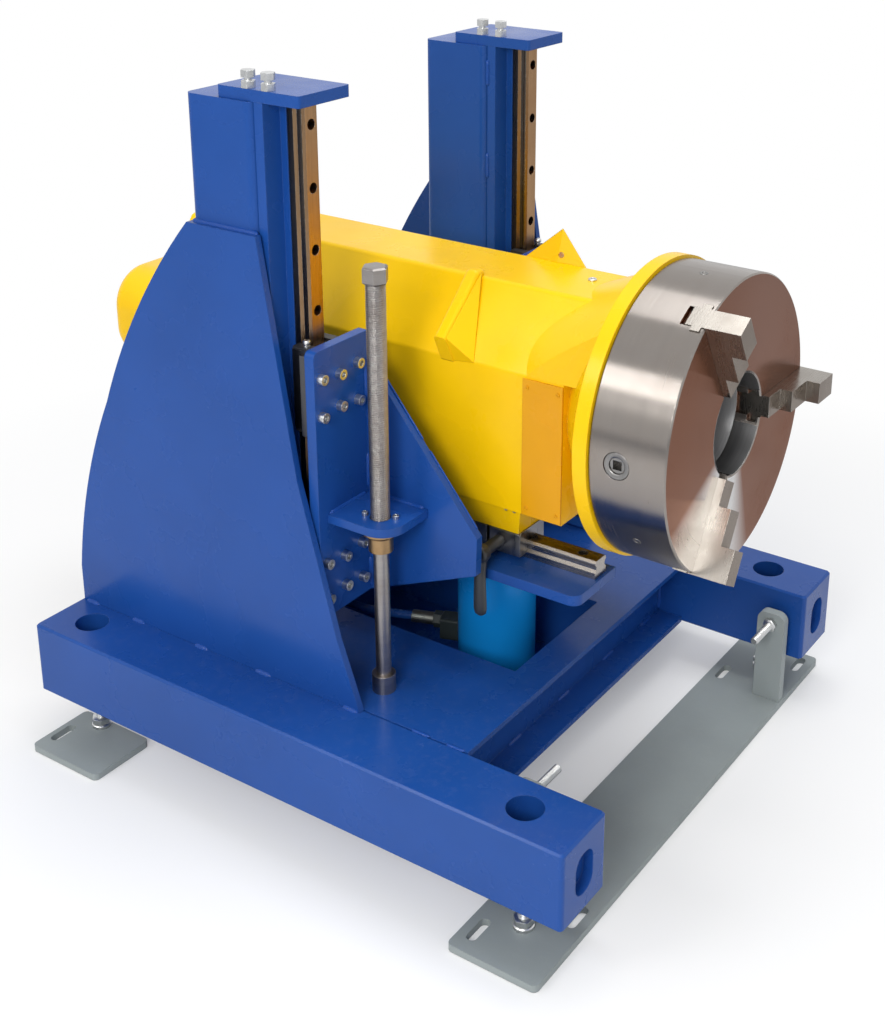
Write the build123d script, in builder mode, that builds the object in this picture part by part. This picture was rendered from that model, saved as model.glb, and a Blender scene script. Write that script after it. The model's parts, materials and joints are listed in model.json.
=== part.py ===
from build123d import *
import os
from math import cos, radians, sin, tan

os.makedirs("parts", exist_ok=True)

# Pipe welding positioner. A welded base frame on levelling screws carries two guide columns.
# A carriage climbs them on profile rails, pushed by a telescopic cylinder, and a trapezoidal
# spindle follows it. On the carriage bed a box-shaped head slides forward and back, and the
# head turns a large three-jaw chuck on a hollow shaft.
# +X runs along the chuck axis toward the workpiece, +Y to the far side, +Z up.
# The origin lies on the floor under the middle of the machine.

# Running fit of shafts, pins and pistons, and air between parts that pass each other
running_fit = 0.1
seat_fit = 0.05
rail_air = 0.45
guide_air = 0.3

# Base frame
frame_rear = -417.5
frame_length = 900
frame_width = 800
frame_clearance = 75
beam_width = 100
beam_height = 110
beam_corner = 6
beam_nose_chamfer = 9
end_slot_height = 58
end_slot_width = 40
end_slot_depth = 14
well_radius = 24
well_floor = 15
rear_well_inset = 65
front_well_inset = 84
deck_thickness = 8
deck_rear = -267.5
deck_front = 279.5
deck_opening_rear = -87.5
pit_half_width = 112
pit_rear = -159.5
web_thickness = 7
web_setback = 45
flange_reach = 43

beam_centre = frame_width / 2 - beam_width / 2
beam_inner = frame_width / 2 - beam_width
beam_top = frame_clearance + beam_height
frame_front = frame_rear + frame_length
frame_middle = frame_rear + frame_length / 2
rear_well = frame_rear + rear_well_inset
front_well = frame_front - front_well_inset
web_front = deck_front - web_setback
web_rear = web_front - web_thickness
deck_underside = beam_top - deck_thickness

# Floor plates, levelling screws and side screws
foot_thickness = 10
foot_corner = 8
front_foot_depth = 130
front_foot_overhang = 20
front_foot_near_extra = 7
front_foot_shift = 2
rear_foot_depth = 133
rear_foot_shift = 19
rear_foot_width = 103
rear_foot_overhang = 40
slot_length = 42
slot_width = 14
slot_shift = 45
slot_outer_inset = 14
rear_slot_shift = 32
rear_slot_inset = 5
stud_radius = 8
stud_pad_radius = 14
stud_pad_height = 6
stud_nut_width = 24
stud_nut_height = 10
stud_head_height = 30
bracket_width = 44
bracket_thickness = 15
bracket_gap = 15
bracket_height = 149
bracket_corner = 14
bracket_screw_drop = 18
bracket_shift = 41
side_screw_radius = 6
side_screw_length = 90
side_screw_nut_width = 19
side_screw_nut_height = 8

front_foot_x = front_well + front_foot_shift
front_foot_length = frame_width + 2 * front_foot_overhang + front_foot_near_extra
stud_bottom = foot_thickness
stud_top = frame_clearance + well_floor + stud_head_height
bracket_y = beam_inner - bracket_gap - bracket_thickness / 2
side_screw_z = foot_thickness + bracket_height - bracket_screw_drop
slot_inner_y = beam_inner
slot_outer_y = frame_width / 2 - slot_outer_inset
rear_slot_y = frame_width / 2 - rear_slot_inset
rear_foot_outer = frame_width / 2 + rear_foot_overhang
rear_foot_inner = rear_foot_outer - rear_foot_width

# Guide columns, gussets and top plates
column_front = -37.5
column_depth = 112
column_width = 100
column_height = 795
column_wall = 8
column_corner = 12
bar_thickness = 14
bar_width = 92
pad_thickness = 10
pad_width = 31
gusset_thickness = 10
gusset_top_drop = 165
gusset_foot_inset = 4.5
gusset_foot_reach = 150
gusset_knee_inset = 86
gusset_knee_share = 0.54
gusset_heel_share = 0.09
top_plate_thickness = 15
top_plate_rear = -97.5
top_plate_length = 132
top_plate_width = 96
top_bolt_radius = 5
top_bolt_head_width = 16
top_bolt_head_height = 9
top_bolt_gap = 4
top_bolt_inset = 12
top_bolt_rear = 46
top_bolt_pitch = 32

column_centre_y = beam_inner - column_width / 2
column_top = beam_top + column_height
column_x = column_front - column_depth / 2
bar_front = column_front + bar_thickness
rail_base_x = bar_front + pad_thickness
gusset_top = column_top - gusset_top_drop

# Profile rails and their runner blocks
rail_width = 28
rail_height = 26
rail_foot_height = 9
rail_waist_width = 21
rail_waist_low = 12.5
rail_waist_high = 17
rail_shoulder_low = 20.5
rail_shoulder_high = 23
rail_crown_width = 22
rail_pitch = 80
rail_bore_radius = 4.5
rail_counterbore_radius = 7
rail_counterbore_depth = 12
column_rail_bottom_gap = 10
column_rail_top_gap = 1
column_rail_end = 28
bed_rail_length = 614
bed_rail_end = 27
block_assembly_height = 42
block_air = 7
flange_block_width = 90
flange_block_waist = 60
flange_block_flange = 10
flange_block_length = 110
narrow_block_width = 60
narrow_block_length = 90

column_rail_length = column_height - column_rail_bottom_gap - column_rail_top_gap

# Carriage
carriage_rest_height = 110
carriage_height = 378
carriage_plate_thickness = 15
carriage_plate_width = 114
carriage_plate_shift = 10
block_low_inset = 55
block_high_inset = 63
screw_head_radius = 7
screw_head_height = 9
screw_shank_radius = 4.5
screw_socket_width = 7
screw_socket_depth = 4.5
screw_corner_y = 36
screw_corner_z = 26
screw_middle_z = 22
side_plate_thickness = 12
side_plate_reach = 177
side_plate_top_drop = 36
side_plate_nose_high = 128
side_plate_nose_low = 74
cross_plate_thickness = 15
cross_plate_rise = 45
cross_plate_reach = 109
cross_plate_wing_reach = 44
cross_web_drop = 43
bed_thickness = 15
bed_half_width = 148
bed_slot_half_width = 48
bed_rear = -297.5
bed_front = 344.5
bed_bridge = 40
bed_corner = 15
bed_rail_y = 80
bed_rail_front_gap = 5

carriage_drop_z = beam_top + carriage_rest_height
carriage_outer_y = column_centre_y + carriage_plate_width / 2 - carriage_plate_shift
carriage_inner_y = carriage_outer_y - carriage_plate_width
block_low_z = carriage_drop_z + block_low_inset
block_high_z = carriage_drop_z + carriage_height - block_high_inset
carriage_back = rail_base_x + block_assembly_height
carriage_face = carriage_back + carriage_plate_thickness
cross_plate_top = carriage_drop_z + cross_plate_rise
cross_plate_bottom = cross_plate_top - cross_plate_thickness
bed_top = cross_plate_top + bed_thickness
bed_rail_front = bed_front - bed_rail_front_gap
bed_rail_rear = bed_rail_front - bed_rail_length
saddle_bottom = bed_top + block_assembly_height

# Spindle, its foot, bronze nut and nut bracket
spindle_reach = 60
spindle_inset = 4
spindle_shank_radius = 10.5
spindle_thread_radius = 13
spindle_height = 579
spindle_head_width = 30
spindle_head_height = 22
spindle_foot_radius = 16
spindle_foot_height = 26
spindle_foot_floor = 3
bracket_plate_rise = 137
bracket_plate_thickness = 12
bracket_plate_reach = 99
bracket_plate_width = 85
bracket_plate_corner = 34
nut_flange_radius = 24.5
nut_flange_height = 9
nut_cone_height = 6
nut_body_radius = 16.5
nut_body_height = 26

spindle_x = carriage_face + spindle_reach
spindle_y = spindle_inset - column_centre_y
bracket_plate_bottom = carriage_drop_z + bracket_plate_rise
spindle_thread_start = bracket_plate_bottom - nut_flange_height - nut_body_height
spindle_head_z = beam_top + spindle_height

# Telescopic lift cylinder
cylinder_reach = 78
barrel_radius = 57.5
barrel_bore = 47.5
barrel_height = 192
barrel_floor = 12
gland_height = 12
stage_radius = 42.5
stage_bore = 32.5
stage_top_gap = 5
stage_piston_height = 12
rod_radius = 27.5
rod_piston_height = 10
rod_floor_gap = 3
stage_floor_gap = 1

cylinder_x = carriage_face + cylinder_reach
barrel_bottom = frame_clearance + web_thickness + 1
barrel_top = barrel_bottom + barrel_height
stage_bottom = barrel_bottom + barrel_floor + stage_floor_gap
stage_top = barrel_top + stage_top_gap
rod_bottom = barrel_bottom + barrel_floor + rod_floor_gap

# Lift hose with its valve and ferrules
port_angle = 200
valve_length = 26
valve_width = 30
valve_height = 34
hose_nut_width = 22
hose_nut_height = 12
ferrule_radius = 9.5
ferrule_length = 34
hose_radius = 6.5
hose_height = 80
hose_drop = 2
hose_side = 22

hose_z = barrel_bottom + hose_height

# Head
saddle_height = 38
head_half_height = 146
head_rear = -397.5
head_length = 700
head_half_width = 122
head_top_half_width = 56
head_shoulder_rise = 51
head_bend = 9
head_wall = 12
head_front_wall = 20
saddle_inset = 3
saddle_taper = 8
saddle_rear = -357.5
saddle_front = 237.5
neck_start_radius = 112
flare_start_inset = 79
flare_start_radius = 122
neck_end_radius = 182
neck_length = 60
flange_radius = 200
flange_thickness = 19.5
flange_bore = 78
front_bearing_radius = 100
front_bearing_width = 30
rear_bearing_radius = 95
rear_bearing_width = 21
bulkhead_rear = 130
bulkhead_thickness = 25
side_cover_length = 60
side_cover_height = 192
side_cover_thickness = 3
motor_cover_air = 29.5
rear_cover_width = 220
rear_cover_height = 150
rear_cover_corner = 60
rear_cover_wall = 4
rear_cover_edge = 22
motor_drop = 31
motor_radius = 65
motor_length = 440
gearbox_rear = -60
gearbox_length = 80
gearbox_half_width = 70
gearbox_rise = 59
motor_hole_radius = 69
near_lug_x = 122.5
near_lug_thickness = 20
near_lug_crest = 9
near_lug_foot_out = 18
near_lug_foot_up = 32
near_lug_edge = 6
far_lug_x = 182.5
far_lug_rear = 100
far_lug_front = 74
far_lug_near = 18
far_lug_far = 28
far_lug_depth = 40
far_lug_rise = 45
far_lug_lean = 10
far_lug_eye_radius = 4
far_lug_eye_height = 10

head_bottom = saddle_bottom + saddle_height
axis_z = head_bottom + head_half_height
head_top = axis_z + head_half_height
head_shoulder = axis_z + head_shoulder_rise
motor_z = axis_z - motor_drop
gearbox_top = axis_z + gearbox_rise
rear_cover_length = head_rear - gearbox_rear + motor_length + motor_cover_air + rear_cover_wall
head_front = head_rear + head_length
flare_start = head_front - flare_start_inset
neck_end = head_front + neck_length
flange_front = neck_end + flange_thickness

# Hollow shaft and its drive
shaft_radius = 75
shaft_bore = 65
shaft_rear = 60
shaft_gear_radius = 88
shaft_gear_width = 34
shaft_gear_rear = 78
drive_pinion_radius = 22
drive_pinion_width = 40
drive_shaft_radius = 12
drive_shaft_length = 100
gear_mesh_air = 0.3

drive_z = axis_z - shaft_gear_radius - drive_pinion_radius - gear_mesh_air
gearbox_bottom = head_bottom + head_wall

# Chuck, scroll, pinions and jaws
chuck_gap = 0.5
chuck_radius = 196
chuck_thickness = 105
chuck_bore = 68
chuck_edge = 2
scroll_bore = 84
scroll_radius = 160
scroll_pinion_air = 0.4
scroll_room = 26
scroll_room_back = 25.5
jaw_slot_depth = 34
jaw_width = 30
jaw_tongue_width = 44
jaw_tongue_depth = 13
jaw_tongue_setback = 5
jaw_heel = 7
jaw_inner = 72
jaw_length = 125
jaw_step_inner = 34
jaw_step_middle = 47
jaw_inner_height = 10
jaw_middle_height = 27
jaw_outer_height = 46
pinion_setback = 39
pinion_radius = 10
pinion_gear_radius = 12.6
pinion_inner = 112
pinion_gear_end = 150
pinion_outer = 193
pinion_socket = 12
pinion_socket_depth = 14
pinion_ring_radius = 18
pinion_ring_depth = 3

chuck_back = flange_front + chuck_gap
chuck_face = chuck_back + chuck_thickness
slot_bottom = chuck_face - jaw_slot_depth
pinion_x = chuck_back + pinion_setback
scroll_front = slot_bottom - guide_air
scroll_back = pinion_x + pinion_gear_radius + scroll_pinion_air
scroll_thickness = scroll_front - scroll_back

# Clamp on the near bed rail with its lever
clamp_length = 49
clamp_inset = 55
clamp_gap = 5
lever_setback = 17.5
lever_height = 25
rear_block_inset = 102
lever_hub_radius = 9
lever_pin_radius = 4
lever_pin_length = 10
lever_arm_length = 90
lever_tip_radius = 6.5
lever_arm_thickness = 14
lever_arm_air = 2

clamp_rear = saddle_front - clamp_inset
lever_x = clamp_rear + lever_setback
lever_z = bed_top + lever_height
lever_arm_y = -bed_half_width - lever_arm_air


def rail_points(air):
    """Outline of the rail section, widened all round by the given air."""
    half = [
        (rail_width / 2 + air, -air),
        (rail_width / 2 + air, rail_foot_height),
        (rail_waist_width / 2 + air, rail_waist_low),
        (rail_waist_width / 2 + air, rail_waist_high),
        (rail_width / 2 + air, rail_shoulder_low),
        (rail_width / 2 + air, rail_shoulder_high),
        (rail_crown_width / 2 + air, rail_height + air),
    ]
    return half + [(-across, up) for across, up in reversed(half)]


def narrow_block_points():
    """Outline of the narrow runner block over its rail."""
    half = narrow_block_width / 2
    return [
        (half, block_air),
        (half, block_assembly_height - 3),
        (half - 3, block_assembly_height),
        (3 - half, block_assembly_height),
        (-half, block_assembly_height - 3),
        (-half, block_air),
    ]


def flange_block_points():
    """Outline of the flanged runner block over its rail."""
    half = flange_block_width / 2
    waist = flange_block_waist / 2
    flange_low = block_assembly_height - flange_block_flange
    return [
        (waist, block_air),
        (waist, flange_low),
        (half, flange_low),
        (half, block_assembly_height),
        (-half, block_assembly_height),
        (-half, flange_low),
        (-waist, flange_low),
        (-waist, block_air),
    ]


def across_x(x, y, z):
    """Plane that looks along +X, with Y to the right and Z up."""
    return Plane(origin=(x, y, z), x_dir=(0, 1, 0), z_dir=(1, 0, 0))


def climbing(y, z):
    """Plane at a column rail's base that looks up, with the rail's height along +X."""
    return Plane(origin=(rail_base_x, y, z), x_dir=(0, -1, 0), z_dir=(0, 0, 1))


# Long beams, with a well over each levelling screw and a rounded recess in each end
def make_beam(side):
    middle_y = side * beam_centre
    with BuildPart() as beam:
        with BuildSketch(Plane.XY.offset(frame_clearance)):
            with Locations((frame_middle, middle_y)):
                RectangleRounded(frame_length, beam_width, beam_corner)
        extrude(amount=beam_height)
        chamfer(beam.faces().sort_by(Axis.X)[-1].edges(), beam_nose_chamfer / 3)
        with Locations((rear_well, middle_y, beam_top), (front_well, middle_y, beam_top)):
            CounterBoreHole(stud_radius + running_fit, well_radius, beam_height - well_floor)
        for x, inward in ((frame_front, -1), (frame_rear, 1)):
            with BuildSketch(across_x(x, middle_y, beam_top - beam_height / 2)):
                RectangleRounded(end_slot_width, end_slot_height, end_slot_width / 2 - 2)
            extrude(amount=inward * end_slot_depth, mode=Mode.SUBTRACT)
    return beam


beam_left = make_beam(-1)
beam_left.part.label = "beam_left"
beam_right = make_beam(1)
beam_right.part.label = "beam_right"

# Deck plate between the beams, open over the cylinder pit
with BuildPart() as deck_plate:
    with BuildSketch(Plane.XY.offset(deck_underside)):
        with Locations(((deck_rear + deck_front) / 2, 0)):
            Rectangle(deck_front - deck_rear, 2 * beam_inner)
        with Locations(((deck_opening_rear + web_rear) / 2, 0)):
            Rectangle(web_rear - deck_opening_rear, 2 * pit_half_width, mode=Mode.SUBTRACT)
    extrude(amount=deck_thickness)
deck_plate.part.label = "deck_plate"

# Bent cross members under the front and the rear edge of the deck
with BuildPart() as crossmembers:
    for web_start, flange_end in ((web_rear, web_front + flange_reach), (deck_rear, deck_rear + 50)):
        with BuildSketch(Plane.XZ):
            with BuildLine():
                Polyline(
                    (web_start, frame_clearance),
                    (flange_end, frame_clearance),
                    (flange_end, frame_clearance + web_thickness + 1),
                    (web_start + web_thickness, frame_clearance + web_thickness + 1),
                    (web_start + web_thickness, deck_underside),
                    (web_start, deck_underside),
                    close=True,
                )
            make_face()
        extrude(amount=beam_inner, both=True)
crossmembers.part.label = "crossmembers"

# Pit under the deck that carries the lift cylinder, closed in front by the front web
with BuildPart() as cylinder_pit:
    pit_wall = web_thickness + 1
    with BuildSketch(Plane.XY.offset(frame_clearance)):
        with Locations(((pit_rear - pit_wall + web_rear) / 2, 0)):
            Rectangle(web_rear - pit_rear + pit_wall, 2 * (pit_half_width + pit_wall))
    extrude(amount=deck_underside - frame_clearance)
    with BuildSketch(Plane.XY.offset(barrel_bottom)):
        with Locations(((pit_rear + web_rear) / 2, 0)):
            Rectangle(web_rear - pit_rear, 2 * pit_half_width)
    extrude(amount=deck_underside - barrel_bottom, mode=Mode.SUBTRACT)
cylinder_pit.part.label = "cylinder_pit"


# Guide columns: rounded box sections closed by a cap
def make_column(side):
    with BuildPart() as column:
        with BuildSketch(Plane.XY.offset(beam_top)):
            with Locations((column_x, side * column_centre_y)):
                RectangleRounded(column_depth, column_width, column_corner)
        extrude(amount=column_height)
        with BuildSketch(Plane.XY.offset(beam_top)):
            with Locations((column_x, side * column_centre_y)):
                RectangleRounded(
                    column_depth - 2 * column_wall,
                    column_width - 2 * column_wall,
                    column_corner - column_wall / 2,
                )
        extrude(amount=column_height - column_wall, mode=Mode.SUBTRACT)
    return column


column_left = make_column(-1)
column_left.part.label = "column_left"
column_right = make_column(1)
column_right.part.label = "column_right"

# Mounting bars on the column fronts, each with its machined pad under the rail
with BuildPart() as rail_bars:
    for side in (-1, 1):
        with BuildSketch(Plane.XY.offset(beam_top)):
            with Locations((column_front + bar_thickness / 2, side * column_centre_y)):
                Rectangle(bar_thickness, bar_width)
            with Locations((bar_front + pad_thickness / 2, side * column_centre_y)):
                Rectangle(pad_thickness, pad_width)
        extrude(amount=column_height)
rail_bars.part.label = "rail_bars"


# Column rails with a counterbored hole every pitch
def make_column_rail(side):
    rail_y = side * column_centre_y
    rail_bottom = beam_top + column_rail_bottom_gap
    first_hole = rail_bottom + column_rail_length - column_rail_end
    count = int((column_rail_length - column_rail_end) // rail_pitch) + 1
    with BuildPart() as rail:
        with BuildSketch(climbing(rail_y, rail_bottom)):
            Polygon(*rail_points(0), align=None)
        extrude(amount=column_rail_length)
        rail_front = rail_base_x + rail_height
        spots = [across_x(rail_front, rail_y, first_hole - rail_pitch * n) for n in range(count)]
        with Locations(*spots):
            CounterBoreHole(rail_bore_radius, rail_counterbore_radius, rail_counterbore_depth, rail_height)
    return rail


column_rail_left = make_column_rail(-1)
column_rail_left.part.label = "column_rail_left"
column_rail_right = make_column_rail(1)
column_rail_right.part.label = "column_rail_right"


# Curved gussets that stand on the beams beside the columns
def make_gusset(side):
    outer_y = side * (beam_inner + gusset_thickness / 2)
    top_rear = column_front - column_depth
    foot_rear = frame_rear + gusset_foot_inset
    foot_front = column_front + gusset_foot_reach
    heel_z = beam_top + gusset_heel_share * (gusset_top - beam_top)
    rise = gusset_top - beam_top
    with BuildPart() as gusset:
        with BuildSketch(Plane.XZ.offset(-outer_y)):
            with BuildLine():
                knee = (foot_rear + gusset_knee_inset, beam_top + gusset_knee_share * rise)
                ThreePointArc((top_rear, gusset_top), (top_rear - 84, gusset_top - 0.173 * rise), knee)
                ThreePointArc(knee, (foot_rear + 32, beam_top + 0.325 * rise), (foot_rear, heel_z))
                Polyline(
                    (foot_rear, heel_z),
                    (foot_rear, beam_top),
                    (foot_front, beam_top),
                    (foot_front - 34.5, beam_top + 0.152 * rise),
                    (foot_front - 93, beam_top + 0.495 * rise),
                    (column_front + 5, gusset_top),
                    (top_rear, gusset_top),
                )
            make_face()
        extrude(amount=gusset_thickness / 2, both=True)
    return gusset


gusset_left = make_gusset(-1)
gusset_left.part.label = "gusset_left"
gusset_right = make_gusset(1)
gusset_right.part.label = "gusset_right"

# Top plates that overhang the rails, each with two stop bolts and their lock nuts
top_bolt_x = top_plate_rear + top_bolt_rear
top_bolt_places = [
    (top_bolt_x + top_bolt_pitch * n, side * column_centre_y - column_width / 2 + top_bolt_inset)
    for side in (-1, 1)
    for n in (0, 1)
]
with BuildPart() as top_plates:
    with BuildSketch(Plane.XY.offset(column_top)):
        for side in (-1, 1):
            with Locations((top_plate_rear + top_plate_length / 2, side * column_centre_y + 2)):
                RectangleRounded(top_plate_length, top_plate_width, 5)
    extrude(amount=top_plate_thickness)
    with Locations(*[(x, y, column_top + top_plate_thickness) for x, y in top_bolt_places]):
        Hole(top_bolt_radius + running_fit, top_plate_thickness)
top_plates.part.label = "top_plates"

with BuildPart() as top_bolts:
    nut_bottom = column_top + top_plate_thickness
    head_bottom_z = nut_bottom + top_bolt_head_height + top_bolt_gap
    with BuildSketch(Plane.XY.offset(column_top)):
        with Locations(*top_bolt_places):
            Circle(top_bolt_radius)
    extrude(amount=head_bottom_z - column_top)
    for level in (nut_bottom, head_bottom_z):
        with BuildSketch(Plane.XY.offset(level)):
            with Locations(*top_bolt_places):
                RegularPolygon(top_bolt_head_width / 2, 6, major_radius=False)
        extrude(amount=top_bolt_head_height)
top_bolts.part.label = "top_bolts"

# Floor plates with anchoring slots. The front strip reaches under both beams.
with BuildPart() as front_foot_plate:
    with BuildSketch(Plane.XY):
        with Locations((front_foot_x, 0)):
            with Locations((0, -front_foot_near_extra / 2)):
                RectangleRounded(front_foot_depth, front_foot_length, foot_corner)
        for side in (-1, 1):
            with Locations(
                (front_foot_x - side * slot_shift, side * slot_inner_y),
                (front_foot_x + side * slot_shift, side * slot_outer_y),
            ):
                SlotOverall(slot_length, slot_width, rotation=90, mode=Mode.SUBTRACT)
    extrude(amount=foot_thickness)
front_foot_plate.part.label = "front_foot_plate"

with BuildPart() as rear_foot_plates:
    with BuildSketch(Plane.XY):
        for side in (-1, 1):
            with Locations((rear_well + rear_foot_shift, side * (rear_foot_inner + rear_foot_outer) / 2)):
                RectangleRounded(rear_foot_depth, rear_foot_width, foot_corner)
            with Locations((rear_well - rear_slot_shift, side * rear_slot_y)):
                SlotOverall(slot_length, slot_width, rotation=90, mode=Mode.SUBTRACT)
    extrude(amount=foot_thickness)
rear_foot_plates.part.label = "rear_foot_plates"

# Levelling screws: pad on the plate, a nut above it and a lock nut under the beam
with BuildPart() as levelling_studs:
    stud_places = [(x, side * beam_centre) for x in (rear_well, front_well) for side in (-1, 1)]
    pad_top = stud_bottom + stud_pad_height
    with BuildSketch(Plane.XY.offset(stud_bottom)):
        with Locations(*stud_places):
            Circle(stud_pad_radius)
    extrude(amount=stud_pad_height)
    with BuildSketch(Plane.XY.offset(pad_top)):
        with Locations(*stud_places):
            Circle(stud_radius)
    extrude(amount=stud_top - pad_top)
    for level in (pad_top, frame_clearance - stud_nut_height):
        with BuildSketch(Plane.XY.offset(level)):
            with Locations(*stud_places):
                RegularPolygon(stud_nut_width / 2, 6, major_radius=False)
        extrude(amount=stud_nut_height)
levelling_studs.part.label = "levelling_studs"

# Upright brackets on the front strip and the screws that push the beams sideways
with BuildPart() as side_brackets:
    for side in (-1, 1):
        with BuildSketch(Plane.XZ.offset(-side * bracket_y)):
            with Locations((front_foot_x + side * bracket_shift, foot_thickness + bracket_height / 2)):
                Rectangle(bracket_width, bracket_height)
            with Locations((front_foot_x + side * bracket_shift, side_screw_z)):
                Circle(side_screw_radius + running_fit, mode=Mode.SUBTRACT)
        extrude(amount=bracket_thickness / 2, both=True)
    fillet(side_brackets.edges().filter_by(Axis.Y).group_by(Axis.Z)[-1], bracket_corner)
side_brackets.part.label = "side_brackets"


def make_side_screw(side):
    tip = side * (beam_inner - guide_air)
    nut_face = side * (bracket_y - bracket_thickness / 2 - guide_air)
    spot_x = front_foot_x + side * bracket_shift
    with BuildPart() as screw:
        with BuildSketch(Plane.XZ.offset(-tip)):
            with Locations((spot_x, side_screw_z)):
                Circle(side_screw_radius)
        extrude(amount=side * side_screw_length)
        chamfer(screw.edges().filter_by(GeomType.CIRCLE), 1)
        with BuildSketch(Plane.XZ.offset(-nut_face)):
            with Locations((spot_x, side_screw_z)):
                RegularPolygon(side_screw_nut_width / 2, 6, major_radius=False)
        extrude(amount=side * side_screw_nut_height)
    return screw


side_screw_left = make_side_screw(-1)
side_screw_left.part.label = "side_screw_left"
side_screw_right = make_side_screw(1)
side_screw_right.part.label = "side_screw_right"

# Spindle with its foot bearing. The thread itself is plain here, at its outer size.
spindle_foot_bore = spindle_shank_radius + running_fit
with BuildPart() as spindle_foot:
    with BuildSketch(Plane.XY.offset(beam_top)):
        with Locations((spindle_x, spindle_y)):
            Circle(spindle_foot_radius)
    extrude(amount=spindle_foot_height)
    with Locations((spindle_x, spindle_y, beam_top + spindle_foot_height)):
        Hole(spindle_foot_bore, spindle_foot_height - spindle_foot_floor)
spindle_foot.part.label = "spindle_foot"

with BuildPart() as spindle:
    spindle_bottom = beam_top + spindle_foot_floor + guide_air
    with BuildSketch(Plane.XY.offset(spindle_bottom)):
        with Locations((spindle_x, spindle_y)):
            Circle(spindle_shank_radius)
    extrude(amount=spindle_thread_start - spindle_bottom)
    with BuildSketch(Plane.XY.offset(spindle_thread_start)):
        with Locations((spindle_x, spindle_y)):
            Circle(spindle_thread_radius)
    extrude(amount=spindle_head_z - spindle_thread_start)
    with BuildSketch(Plane.XY.offset(spindle_head_z)):
        with Locations((spindle_x, spindle_y)):
            RegularPolygon(spindle_head_width / 2, 6, major_radius=False)
    extrude(amount=spindle_head_height)
spindle.part.label = "spindle"

with BuildPart() as spindle_nut:
    flange_bottom = bracket_plate_bottom - nut_flange_height
    with BuildSketch(Plane.XY.offset(flange_bottom)):
        with Locations((spindle_x, spindle_y)):
            Circle(nut_flange_radius)
    extrude(amount=nut_flange_height)
    with BuildSketch(Plane.XY.offset(spindle_thread_start)):
        with Locations((spindle_x, spindle_y)):
            Circle(nut_body_radius)
    extrude(amount=nut_body_height)
    with BuildSketch(Plane.XY.offset(flange_bottom - nut_cone_height)):
        with Locations((spindle_x, spindle_y)):
            Circle(nut_body_radius)
    with BuildSketch(Plane.XY.offset(flange_bottom)):
        with Locations((spindle_x, spindle_y)):
            Circle(nut_flange_radius - 1)
    loft()
    with Locations((spindle_x, spindle_y, bracket_plate_bottom)):
        Hole(spindle_thread_radius + running_fit)
spindle_nut.part.label = "spindle_nut"

with BuildPart() as nut_bracket:
    bracket_far = -carriage_inner_y - side_plate_thickness
    with BuildSketch(Plane.XY.offset(bracket_plate_bottom)):
        with Locations((carriage_face + bracket_plate_reach / 2, bracket_far - bracket_plate_width / 2)):
            Rectangle(bracket_plate_reach, bracket_plate_width)
    extrude(amount=bracket_plate_thickness)
    outer_edge = nut_bracket.edges().filter_by(Axis.Z).sort_by(Axis.X)[-2:].sort_by(Axis.Y)[0]
    fillet(outer_edge, bracket_plate_corner)
    with Locations((spindle_x, spindle_y, bracket_plate_bottom + bracket_plate_thickness)):
        Hole(spindle_thread_radius + 1)
nut_bracket.part.label = "nut_bracket"


# Carriage plates with the clearance holes of their block screws
def screw_places(side):
    """Centres of the twelve block screws on one carriage plate, as (y, z)."""
    middle_y = side * column_centre_y
    places = []
    for block_z in (block_low_z, block_high_z):
        for up in (-1, 1):
            row_z = block_z + up * screw_corner_z
            places += [(middle_y + across * screw_corner_y, row_z) for across in (-1, 1)]
            places.append((middle_y, block_z + up * screw_middle_z))
    return places


def make_carriage_plate(side):
    middle_y = side * (carriage_outer_y + carriage_inner_y) / 2
    with BuildPart() as plate:
        with BuildSketch(across_x(carriage_back, middle_y, carriage_drop_z + carriage_height / 2)):
            RectangleRounded(carriage_outer_y - carriage_inner_y, carriage_height, 8)
        extrude(amount=carriage_plate_thickness)
        with Locations(*[across_x(carriage_face, y, z) for y, z in screw_places(side)]):
            Hole(screw_shank_radius + running_fit, carriage_plate_thickness)
    return plate


carriage_plate_left = make_carriage_plate(-1)
carriage_plate_left.part.label = "carriage_plate_left"
carriage_plate_right = make_carriage_plate(1)
carriage_plate_right.part.label = "carriage_plate_right"

with BuildPart() as carriage_screws:
    for side in (-1, 1):
        spots = [across_x(carriage_back, y, z) for y, z in screw_places(side)]
        with BuildSketch(*spots):
            Circle(screw_shank_radius)
        extrude(amount=carriage_plate_thickness)
        with BuildSketch(*[spot.offset(carriage_plate_thickness) for spot in spots]):
            Circle(screw_head_radius)
        extrude(amount=screw_head_height)
        with BuildSketch(*[spot.offset(carriage_plate_thickness + screw_head_height) for spot in spots]):
            RegularPolygon(screw_socket_width / 2, 6, major_radius=False)
        extrude(amount=-screw_socket_depth, mode=Mode.SUBTRACT)
carriage_screws.part.label = "carriage_screws"

# Four flanged runner blocks on the column rails
with BuildPart() as runner_blocks:
    for side in (-1, 1):
        for block_z in (block_low_z, block_high_z):
            with BuildSketch(climbing(side * column_centre_y, block_z - flange_block_length / 2)):
                Polygon(*flange_block_points(), align=None)
                Polygon(*rail_points(rail_air), align=None, mode=Mode.SUBTRACT)
            extrude(amount=flange_block_length)
runner_blocks.part.label = "runner_blocks"


# Three-cornered side plates that carry the bed
def make_side_plate(side):
    middle_y = side * (carriage_inner_y + side_plate_thickness / 2)
    top_z = carriage_drop_z + carriage_height - side_plate_top_drop
    with BuildPart() as plate:
        with BuildSketch(Plane.XZ.offset(-middle_y)):
            with BuildLine():
                Polyline(
                    (carriage_face, carriage_drop_z),
                    (carriage_face + side_plate_reach - 2, carriage_drop_z + side_plate_nose_low),
                    (carriage_face + side_plate_reach, carriage_drop_z + side_plate_nose_high),
                    (carriage_face, top_z),
                    close=True,
                )
            make_face()
        extrude(amount=side_plate_thickness / 2, both=True)
    return plate


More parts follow.
